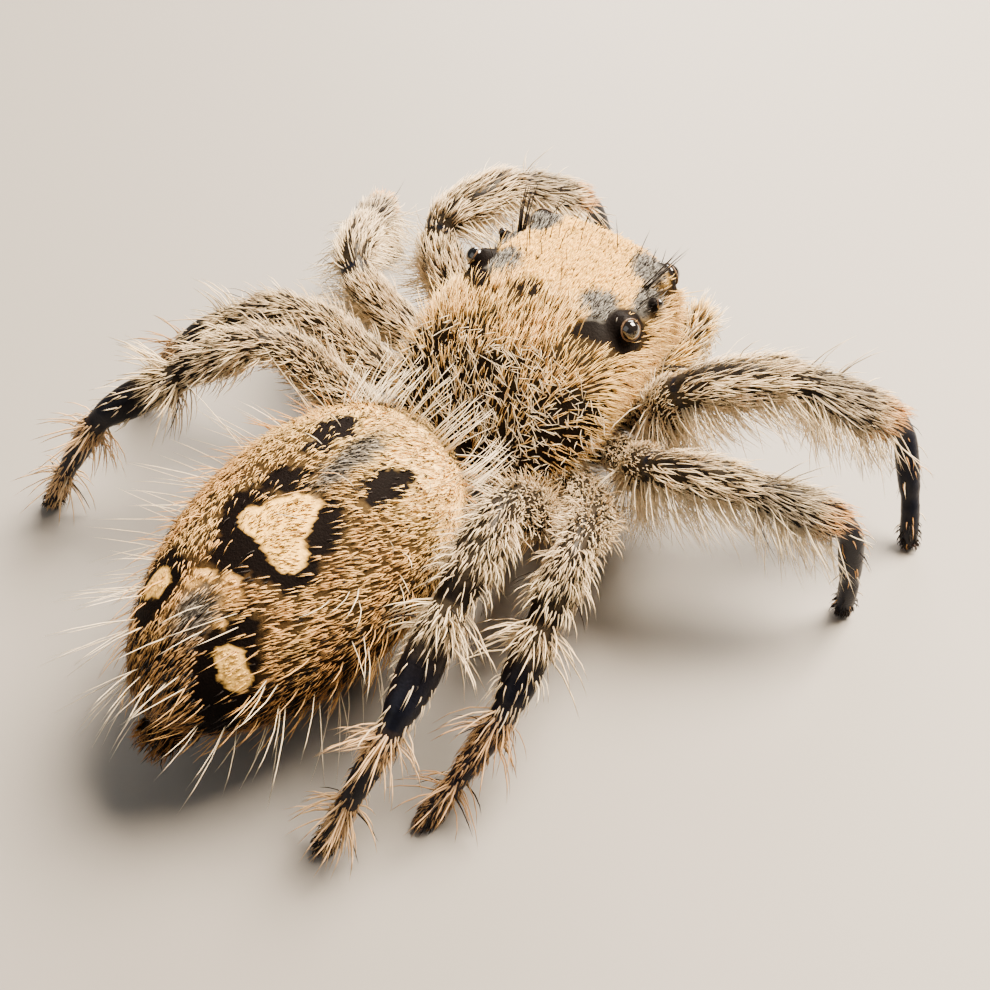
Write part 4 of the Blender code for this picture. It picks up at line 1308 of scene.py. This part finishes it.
def tangent_lie(roots, draw, turn):
    """The way each hair leans along the skin, turned at random by up to about the angle given."""
    lean = roots.lie - roots.normals * (roots.lie * roots.normals).sum(axis=1, keepdims=True)
    lean = unit(lean + draw.normal(scale=0.02, size=lean.shape))
    angle = np.radians(draw.normal(scale=turn, size=len(lean)))[:, None]
    return unit(lean * np.cos(angle) + np.cross(roots.normals, lean) * np.sin(angle))


def strands(roots, lean, length, rise, curl, segments, draw, margin):
    """Points along each hair: its sunk root, then steps that bend over towards its lean. A hair that
    would leave the model's box is made shorter."""
    share = even(segments)
    low = np.array(CAD_BOX[0]) / MM - CENTRE_SHIFT + margin
    high = np.array(CAD_BOX[1]) / MM - CENTRE_SHIFT - margin
    low[2] = LOWEST
    sway = draw.normal(scale=HAIR_SWAY, size=lean.shape)
    steps = []
    for k in range(segments):
        angle = np.radians(rise * (1.0 - curl * share[k]))[:, None]
        way = lean * np.cos(angle) + roots.normals * np.sin(angle) + sway * share[k]
        steps.append(unit(way) * (length / segments)[:, None])
    reach = np.cumsum(np.array(steps), axis=0)
    limit = np.ones(len(length))
    for step in reach:
        for axis in range(3):
            travel = step[:, axis]
            place = roots.places[:, axis]
            room = np.where(travel > 0.0, high[axis] - place, place - low[axis])
            limit = np.minimum(limit, np.clip(room, 0.0, None) / np.maximum(np.abs(travel), 1e-9))
    reach = reach * np.clip(limit, 0.02, 1.0)[None, :, None]
    sunk = roots.places - roots.normals * np.minimum(HAIR_SINK, length * 0.2)[:, None]
    sunk[:, 2] = np.maximum(sunk[:, 2], LOWEST)
    return [sunk] + [roots.places + step for step in reach]


def hair_mesh(name, lines, side, width, thickness, root_colour, tip_colour, uv):
    """All hairs of one coat piece in one mesh: each is a closed, tapered, three-sided prism."""
    count = len(width)
    rings = len(lines) - 1
    taper = np.linspace(1.0, TIP_WIDTH, rings)
    points = np.empty((count, rings * 3 + 1, 3))
    for k in range(rings):
        direction = unit(lines[k + 1] - lines[k])
        top = unit(np.cross(side, direction))
        across = side * (width * taper[k] / 2.0)[:, None]
        crest = top * (thickness * taper[k])[:, None]
        points[:, k * 3] = lines[k] - across
        points[:, k * 3 + 1] = lines[k] + across
        points[:, k * 3 + 2] = lines[k] + crest
    points[:, -1] = lines[-1]
    faces = [(0, 1, 2)]
    for k in range(rings - 1):
        for j in range(3):
            a = k * 3 + j
            b = k * 3 + (j + 1) % 3
            faces += [(b, a, a + 3), (b, a + 3, b + 3)]
    last = rings * 3 - 3
    tip = rings * 3
    faces += [(last + (j + 1) % 3, last + j, tip) for j in range(3)]
    faces = np.array(faces)
    size = points.shape[1]
    corners = (faces[None] + (np.arange(count) * size)[:, None, None]).reshape(-1)
    mesh = bpy.data.meshes.new(name)
    mesh.vertices.add(count * size)
    mesh.vertices.foreach_set("co", to_model(points.reshape(-1, 3)).ravel())
    mesh.loops.add(len(corners))
    mesh.loops.foreach_set("vertex_index", corners)
    mesh.polygons.add(len(corners) // 3)
    mesh.polygons.foreach_set("loop_start", np.arange(0, len(corners), 3))
    mesh.update(calc_edges=True)

    height = np.append(np.repeat(even(rings + 1)[:-1], 3), 1.0)
    share = height[None, :, None] ** 0.7
    # Colour runs from the darker root to the tip: painted shade at the root
    colours = root_colour[:, None, :] * (1.0 - share) + tip_colour[:, None, :] * share
    add_colour(mesh, colours.reshape(-1, 3))
    across = np.append(np.tile((-0.5, 0.5, 0.0), rings), 0.0)
    patch = np.stack([across, height - 0.5], axis=1) * PATCH
    spread = np.clip(uv[:, None, :], PATCH, 1.0 - PATCH) + patch[None]
    layer = mesh.uv_layers.new(name="OFBake")
    layer.data.foreach_set("uv", spread.reshape(-1, 2)[corners].ravel())
    mesh.shade_smooth()
    return add_thing(name, mesh)


def at_roots(value, nearest):
    """A value of a layer at the roots of its hairs: one for all, or one for each vertex of the skin."""
    return value if np.ndim(value) == 0 else value[nearest]


def grow(skin, name, slot, seed, *layers):
    """One coat piece from one or more layers of hair."""
    draw = np.random.default_rng(SEED + seed)
    marks = skin.marks
    made = []
    for layer in layers:
        roots = skin.scatter(layer.density * skin.share, draw)
        near = roots.nearest
        count = len(near)
        if layer.lie:
            roots.lie = layer.lie(roots)
        length = at_roots(layer.length, near) * draw.uniform(1.0 - layer.spread, 1.0 + layer.spread, count)
        width = layer.width * draw.uniform(0.75, 1.15, count)
        rise = at_roots(layer.rise, near) + draw.normal(scale=RISE_SPREAD, size=count)
        lean = tangent_lie(roots, draw, layer.turn)
        lines = strands(roots, lean, length, rise, layer.curl, layer.steps, draw, skin.margin)
        side = unit(np.cross(lean, roots.normals))
        if layer.colour:
            tip = np.tile(marks.palette[layer.colour], (count, 1))
        else:
            tip = marks.tone[near].copy()
            tip[draw.random(count) < marks.dark[near]] = marks.palette["dark"]
        tip = tip * draw.uniform(1.0 - layer.vary, 1.05, (count, 1))
        # Roots take a share of the tip's colour: painted shade between the hairs
        root = tip * layer.painted_root_shade
        uv = roots.uv
        if layer.keep is not None:
            below = nearest_in(skin.tree, lines[-1])
            kept = draw.random(count) * np.maximum(layer.keep[near], 0.05) < layer.keep[below]
            lines = [line[kept] for line in lines]
            side, width, root, tip, uv = (values[kept] for values in (side, width, root, tip, uv))
        made.append(hair_mesh(name, lines, side, width, width * layer.flatness, root, tip, uv))
    material = bpy.data.materials.get("hair_chitin_matt") or hair_material()
    finish_piece(join(made), name, material)


def steady_lie(way):
    """A lie that is the same for all hairs of a layer."""
    return lambda roots: np.tile(np.array(way), (len(roots.nearest), 1))


def ruff_lie(roots):
    """The ruff fans outwards and forwards, away from the middle of the abdomen."""
    away = roots.places - np.array(ABDOMEN_CENTRE)
    return np.array((0.0, -1.0, 0.0)) + unit(away * np.array((1.0, 0.0, 1.0))) * 0.5


def tuft_lie(roots):
    """The dark tufts beside the head lean outwards, forwards and up."""
    outward = np.sign(roots.places[:, :1]) * np.array((0.28, 0.0, 0.0))
    return outward + np.array((0.0, -0.62, 0.52))


def fringe_lie(roots):
    """The fringe below the front legs hangs down and a little towards the foot."""
    return roots.lie * 0.9 + np.array((0.0, 0.0, -1.0))


class SPIDER_OT_abdomen_coat(Operator):
    """Lying hair, ruff and long bristles of the abdomen"""

    bl_idname = "spider.abdomen_coat"
    bl_label = "Abdomen coat"

    def execute(self, context):
        skin = SkinSampler(context)
        width, bristle, marks = skin.width, skin.bristle, skin.marks
        here = skin.on(ABDOMEN)
        along = skin.along
        turn = np.abs(skin.angle)
        band = smooth_step(-0.30, -0.58, along)
        thinner = 1.0 - 0.5 * smooth_step(60.0, 125.0, turn)
        flat = np.maximum(marks.spots, marks.soft_spots)
        fur = here * marks.cover * (1.0 - flat)
        keep = marks.cover * (1.0 - flat)
        grow(
            skin, "abdomen_fur", "abdomen_coat", 1,
            Hair(fur * (1.0 - band) * 290.0 * thinner, 0.34, width * 0.68, 11.0, flatness=0.35, curl=0.6,
                 turn=8.0, steps=2, painted_root_shade=0.40, keep=keep),
            Hair(fur * band * 380.0 * thinner, 0.32, width * 0.62, 6.0, flatness=0.20, curl=0.6,
                 turn=6.0, steps=2, painted_root_shade=0.97, vary=0.08, keep=keep),
            Hair(fur * band * 50.0, 0.22, width * 0.72, 22.0, spread=0.4, flatness=0.4, curl=0.6,
                 turn=8.0, steps=2, colour="dark", keep=marks.cover),
        )
        grow(
            skin, "abdomen_scales", "abdomen_coat", 6,
            Hair(flat * 400.0, 0.20, width * 1.1, 1.5, spread=0.2, flatness=0.03, curl=0.5, turn=6.0,
                 steps=2, painted_root_shade=0.97, vary=0.08, keep=flat),
        )
        flank = smooth_step(35.0, 80.0, turn)
        rear = smooth_step(0.35, 0.8, along)
        scattered = here * (0.3 + np.maximum(5.0 * flank, 2.4 * rear)) * smooth_step(150.0, 110.0, turn)
        ruff = here * stretch(along, -0.90, -0.87, -0.80, -0.76)
        ruff = ruff * smooth_step(135.0, 110.0, turn)
        grow(
            skin, "abdomen_bristles", "abdomen_coat", 2,
            Hair(scattered, 1.50, bristle * 0.68, 58.0, spread=0.35, curl=0.10, turn=16.0,
                 colour="setae", painted_root_shade=0.8),
            Hair(here * (1.5 + 9.0 * flank) * marks.cover, 0.80, bristle * 0.8, 36.0, curl=0.3,
                 turn=12.0, colour="tan", painted_root_shade=0.5),
            Hair(ruff * 34.0, 1.20, bristle * 0.74, 60.0, spread=0.25, curl=0.2, turn=8.0, steps=4,
                 colour="setae", lie=ruff_lie, painted_root_shade=0.75),
        )
        return {"FINISHED"}


class SPIDER_OT_head_coat(Operator):
    """Fur of the head and thorax, the beard over the jaws, and the dark bristles by the eyes"""

    bl_idname = "spider.head_coat"
    bl_label = "Head coat"

    def execute(self, context):
        skin = SkinSampler(context)
        width, bristle, marks = skin.width, skin.bristle, skin.marks
        x, y, z = skin.places.T
        here = skin.on(HEAD)
        crown = smooth_step(4.2, 4.5, z) * smooth_step(-2.7, -3.3, y)
        face = smooth_step(-5.3, -5.6, y)
        flank = smooth_step(3.9, 3.1, z)
        thorax = (1.0 - crown) * (1.0 - face)
        keep = marks.cover
        grow(
            skin, "head_fur", "carapace_coat", 3,
            Hair(here * keep * crown * 700.0, 0.17, width * 0.6, 13.0, flatness=0.4, curl=0.5,
                 turn=9.0, steps=2, painted_root_shade=0.72, keep=keep),
            Hair(here * keep * face * 260.0, 0.28, width * 0.62, 24.0, flatness=0.4, curl=0.5,
                 steps=2, painted_root_shade=0.6),
        )
        grow(
            skin, "thorax_fur", "carapace_coat", 4,
            Hair(here * keep * thorax * 300.0, 0.35 + 0.12 * flank, width * 0.46, 24.0 + 6.0 * flank,
                 flatness=0.5, turn=8.0, steps=2, painted_root_shade=0.6, keep=keep),
            Hair(here * keep * thorax * 14.0, 0.62, bristle * 0.8, 40.0, turn=16.0, colour="cream",
                 painted_root_shade=0.6, keep=keep),
        )
        beard = here * smooth_step(-5.45, -5.7, y) * smooth_step(3.35, 3.1, z)
        waist = here * smooth_step(-2.4, -1.7, y) * smooth_step(1.3, 1.8, z)
        tuft = here * lump(y, np.abs(x), (-4.54, 1.68), (0.09, 0.06), 0.3)
        grow(
            skin, "head_bristles", "carapace_coat", 5,
            Hair(beard * 120.0, 0.55, bristle * 1.1, 30.0, flatness=0.6, curl=0.3, turn=10.0,
                 colour="cream"),
            Hair(here * crown * 4.0, 0.55, bristle * 0.7, 62.0, spread=0.4, curl=0.3, turn=20.0,
                 colour="dark"),
            Hair(tuft * 420.0, 1.35, bristle * 1.15, 48.0, spread=0.20, curl=0.0, turn=3.0,
                 colour="dark", lie=tuft_lie),
            # Hair at the waist stands up and back towards the ruff
            Hair(waist * 56.0, 0.42, bristle * 0.58, 34.0, spread=0.4, curl=-0.6, turn=42.0,
                 colour="setae", lie=steady_lie((0.0, 0.6, 0.8)), painted_root_shade=0.75),
        )
        return {"FINISHED"}


class SPIDER_OT_leg_coats(Operator):
    """Hair of the eight legs, with fans of long hair at the start of each segment"""

    bl_idname = "spider.leg_coats"
    bl_label = "Leg coats"

    def execute(self, context):
        skin = SkinSampler(context)
        width, bristle, marks, along = skin.width, skin.bristle, skin.marks, skin.along
        hanging = marks.fringe * smooth_step(0.25, -0.35, skin.normals[:, 2])
        toe = smooth_step(3.0, 3.3, along)
        near_knee = stretch(along, 1.84, 1.92, 2.01, 2.02)
        for number, name in enumerate(LEG_NAMES):
            here = skin.on(FIRST_LEG + number)
            sole = here * smooth_step(3.72, 3.9, along)
            if name[3] in "34":
                lying = (0.38 - 0.12 * toe) * (1.0 - 0.2 * near_knee)
                fan_density, fan_width = 46.0, 1.25
            else:
                lying = (0.44 - 0.12 * toe) * (1.0 - 0.65 * near_knee)
                fan_density, fan_width = 12.0, 0.9
            layers = [
                Hair(here * marks.cover * 200.0, lying, width * 0.64, 16.0, spread=0.35, flatness=0.5,
                     curl=0.5, turn=9.0, steps=2, painted_root_shade=0.45, keep=marks.cover),
                Hair(here * 3.0 * (1.0 - sole), 0.50 - 0.15 * toe, bristle, 34.0, spread=0.35,
                     turn=13.0, colour="setae", painted_root_shade=0.62),
                Hair(here * marks.fans * fan_density, 1.00 - 0.10 * toe, bristle * fan_width, 56.0,
                     spread=0.35, flatness=0.7, curl=0.35, turn=15.0, painted_root_shade=0.50),
                Hair(here * (0.5 + marks.stubble * 26.0) * (1.0 - sole), 0.55, bristle * 0.85, 52.0,
                     spread=0.35, flatness=0.7, curl=0.5, turn=15.0, painted_root_shade=0.50),
                Hair(sole * 200.0, 0.20, bristle, 30.0, steps=2, colour="dark"),
            ]
            if name[3] in "12":
                layers.append(
                    Hair(here * hanging * 110.0, 1.20, bristle * 0.85, 46.0, flatness=0.7, curl=0.3,
                         colour="setae", lie=fringe_lie, painted_root_shade=0.85)
                )
            grow(skin, name + "_hair", "leg_coat", 20 + number, *layers)
        return {"FINISHED"}


class SPIDER_OT_palp_coats(Operator):
    """Bushy pale hair of the palps, and the thin hair of the underside"""

    bl_idname = "spider.palp_coats"
    bl_label = "Palp and underside coats"

    def execute(self, context):
        skin = SkinSampler(context)
        width, bristle, marks = skin.width, skin.bristle, skin.marks
        for limb, mark, seed in ((PALP_LEFT, "L", 41), (PALP_RIGHT, "R", 42)):
            here = skin.on(limb)
            grow(
                skin, "palp_hair_" + mark, "palp_coat", seed,
                Hair(here * marks.cover * 170.0, 0.36, width * 0.8, 32.0, spread=0.35, flatness=0.45,
                     turn=12.0, steps=2),
                Hair(here * 40.0, 0.55, bristle, 44.0, colour="setae"),
            )
        grow(
            skin, "underside_hair", "body_cuticle", 43,
            Hair(skin.on(BELLY) * marks.cover * 130.0, 0.30, width * 0.7, 24.0, flatness=0.5, steps=2),
        )
        return {"FINISHED"}


def seat(thing, places, way, centre):
    """Turn a lens or rim so that its top looks along its way, and put it at its centre on the head."""
    turn = np.array(way.to_track_quat("Z", "Y").to_matrix())
    move_vertices(thing, to_model(places @ turn.T + np.array(centre)))
    bpy.ops.object.shade_smooth()


class SPIDER_OT_eyes(Operator):
    """Eight domed lenses, each in a raised rim of skin"""

    bl_idname = "spider.eyes"
    bl_label = "Eyes"

    def execute(self, context):
        lens = lens_material()
        rim_finish = skin_material()
        for name, (x, y, z, radius, look) in EYES.items():
            for side, mark in ((1, "L"), (-1, "R")):
                centre = mirrored((x, y, z), side)
                way = Vector(mirrored(look, side)).normalized()
                bpy.ops.object.select_all(action="DESELECT")
                bpy.ops.mesh.primitive_uv_sphere_add(segments=40, ring_count=24, radius=radius)
                eye = context.object
                places = vertex_places(eye)
                height = np.clip(places[:, 2] / radius, 0.0, 1.0)
                dome = 1.0 + LENS_FLATNESS * height**2 - LENS_FLATNESS
                seat(eye, places * dome[:, None], way, centre)
                piece = name[4:] + "_" + mark
                finish_piece(eye, "lens_" + piece, lens, [name + "_" + mark])

                bpy.ops.object.select_all(action="DESELECT")
                bpy.ops.mesh.primitive_torus_add(
                    major_segments=40, minor_segments=10, major_radius=radius * RIM_RADIUS,
                    minor_radius=radius * RIM_THICKNESS,
                )
                rim = context.object
                places = vertex_places(rim) + np.array((0.0, 0.0, radius * RIM_HEIGHT))
                seat(rim, places, way, centre)
                add_colour(rim.data, np.tile(linear(RIM_COLOUR), (len(places), 1)), RIM_SHINE)
                finish_piece(rim, "rim_" + piece, rim_finish)
        return {"FINISHED"}


def jaw_place(side):
    """Places on one jaw, for a form's grid."""
    stations = np.array(CHELICERA_STATIONS)[::-1]

    def place(u, v):
        z = stations[0, 0] + (stations[-1, 0] - stations[0, 0]) * v
        x, y, half_x, half_y = smooth_curve(z, stations[:, 0], stations[:, 1:]).T
        end = np.sqrt(np.clip(1.0 - np.clip((v - 0.9) / 0.1, 0.0, 1.0) ** 2, 0.05, 1.0))
        start = np.sqrt(np.clip(1.0 - np.clip((0.08 - v) / 0.08, 0.0, 1.0) ** 2, 0.25, 1.0))
        turn = 2.0 * np.pi * u
        across = side * (x + half_x * np.sin(turn) * end * start)
        deep = y + half_y * np.cos(turn) * end * start
        points = np.stack([across, deep, z], axis=1)
        return points, v, np.degrees(turn), np.tile((0.0, 0.0, -1.0), (len(u), 1))

    return place


class SPIDER_OT_jaws(Operator):
    """Two stout jaws with a green shine, each with its fang"""

    bl_idname = "spider.jaws"
    bl_label = "Jaws and fangs"

    def execute(self, context):
        shine = jaw_material()
        hard = claw_material()
        for side, mark in ((1, "L"), (-1, "R")):
            jaw = Form(HEAD, 36, 30, jaw_place(side)).thing
            settle(jaw)
            finish_piece(jaw, "jaw_" + mark, shine, ["chelicera_" + mark])
            line = bent_path([mirrored(point, side) for point in FANG_PATH], 24)
            radii = np.interp(even(24), even(len(FANG_RADII)), FANG_RADII)
            fang = Form(HEAD, 16, 24, tube_place(line, radii)).thing
            settle(fang)
            finish_piece(fang, "hooked_fang_" + mark, hard, ["fang_" + mark])
        return {"FINISHED"}


class SPIDER_OT_claws(Operator):
    """A pair of small hooked claws on each foot"""

    bl_idname = "spider.claws"
    bl_label = "Claws"

    def execute(self, context):
        claws = []
        for name in LEG_NAMES:
            foot = leg_line(name)[0][-1]
            away = unit((foot - leg_corners(name)[1]) * np.array((1.0, 1.0, 0.0)))
            across = np.array((-away[1], away[0], 0.0))
            for side in (-1, 1):
                start = foot + across * side * CLAW_SPREAD + np.array(CLAW_START)
                hook = [start]
                for forward, up in (CLAW_BEND, CLAW_POINT):
                    hook.append(start + away * forward + (0.0, 0.0, up))
                radii = np.linspace(*CLAW_RADII, 9)
                claws.append(Form(HEAD, 8, 9, tube_place(bent_path(hook, 9), radii)).thing)
        joined = join(claws)
        settle(joined)
        finish_piece(joined, "claws", claw_material())
        return {"FINISHED"}


def aim(thing, place, direction):
    """Put a lamp or camera at its place, looking along the direction."""
    thing.location = place
    thing.rotation_euler = Vector(direction).to_track_quat("-Z", "Y").to_euler()


class SPIDER_OT_stage(Operator):
    """Pale floor, soft lamps and the camera"""

    bl_idname = "spider.stage"
    bl_label = "Stage"

    def execute(self, context):
        settings = context.scene.spider_stage
        bpy.ops.object.select_all(action="DESELECT")
        bpy.ops.mesh.primitive_plane_add(size=FLOOR_SIZE, location=(0.0, 0.0, 0.0))
        floor = context.object
        floor.name = "floor"
        floor.data.materials.append(floor_material(settings.floor))

        azimuth = math.radians(CAMERA_AZIMUTH)
        elevation = math.radians(CAMERA_ELEVATION)
        level = math.cos(elevation)
        away = Vector((math.sin(azimuth) * level, -math.cos(azimuth) * level, math.sin(elevation)))
        data = bpy.data.cameras.new("camera")
        data.lens = CAMERA_LENS
        data.clip_start = 0.001
        data.clip_end = 5.0
        camera = add_thing("camera", data)
        aim(camera, to_model(CAMERA_PLACE), -away)
        context.scene.camera = camera

        right = Vector((math.cos(azimuth), math.sin(azimuth), 0.0))
        deep = Vector((-math.sin(azimuth), math.cos(azimuth), 0.0))
        up = Vector((0.0, 0.0, 1.0))
        powers = {"key": settings.key_power, "fill": settings.fill_power, "back": settings.back_power}
        for name, ((rightwards, inwards, upwards), size, tint) in LAMPS.items():
            way = right * rightwards + deep * inwards + up * upwards
            data = bpy.data.lights.new(name, "AREA")
            data.energy = powers[name]
            data.size = size
            data.color = linear(tint)
            aim(add_thing(name, data), Vector(LAMP_TARGET) + way * LAMP_DISTANCE, -way)
        world = bpy.data.worlds.new("soft_room")
        world.use_nodes = True
        room = world.node_tree
        background = room.nodes["Background"]
        set_sockets(room, background, Color=(*linear(ROOM_COLOUR), 1.0), Strength=ROOM_STRENGTH)
        context.scene.world = world
        return {"FINISHED"}


OPERATORS = (
    SPIDER_OT_skin,
    SPIDER_OT_eyes,
    SPIDER_OT_jaws,
    SPIDER_OT_claws,
    SPIDER_OT_abdomen_coat,
    SPIDER_OT_head_coat,
    SPIDER_OT_leg_coats,
    SPIDER_OT_palp_coats,
    SPIDER_OT_stage,
)


class SPIDER_PT_panel(Panel):
    """Lists the pieces of the spider, in the order in which they are made, and their settings"""

    bl_idname = "SPIDER_PT_panel"
    bl_label = "Jumping spider"
    bl_space_type = "VIEW_3D"
    bl_region_type = "UI"
    bl_category = "Spider"

    def draw(self, context):
        for operator in OPERATORS:
            self.layout.operator(operator.bl_idname)
        for settings in GROUPS:
            box = self.layout.box()
            group = getattr(context.scene, settings)
            for key in setting_names(group):
                box.prop(group, key)


GROUPS = {
    "spider_skin": SpiderSkinSettings,
    "spider_colours": SpiderColours,
    "spider_coat": SpiderCoatSettings,
    "spider_stage": SpiderStageSettings,
}


def register():
    for group in GROUPS.values():
        bpy.utils.register_class(group)
    for name, group in GROUPS.items():
        setattr(bpy.types.Scene, name, PointerProperty(type=group))
    for operator in OPERATORS:
        bpy.utils.register_class(operator)
    bpy.utils.register_class(SPIDER_PT_panel)


def unregister():
    bpy.utils.unregister_class(SPIDER_PT_panel)
    for operator in reversed(OPERATORS):
        bpy.utils.unregister_class(operator)
    for name, group in GROUPS.items():
        delattr(bpy.types.Scene, name)
        bpy.utils.unregister_class(group)


def main():
    """Make every piece in order."""
    register()
    bpy.ops.spider.skin()
    bpy.ops.spider.eyes()
    bpy.ops.spider.jaws()
    bpy.ops.spider.claws()
    bpy.ops.spider.abdomen_coat()
    bpy.ops.spider.head_coat()
    bpy.ops.spider.leg_coats()
    bpy.ops.spider.palp_coats()
    bpy.ops.spider.stage()
    bpy.context.view_layer.update()


if __name__ == "__main__":
    main()
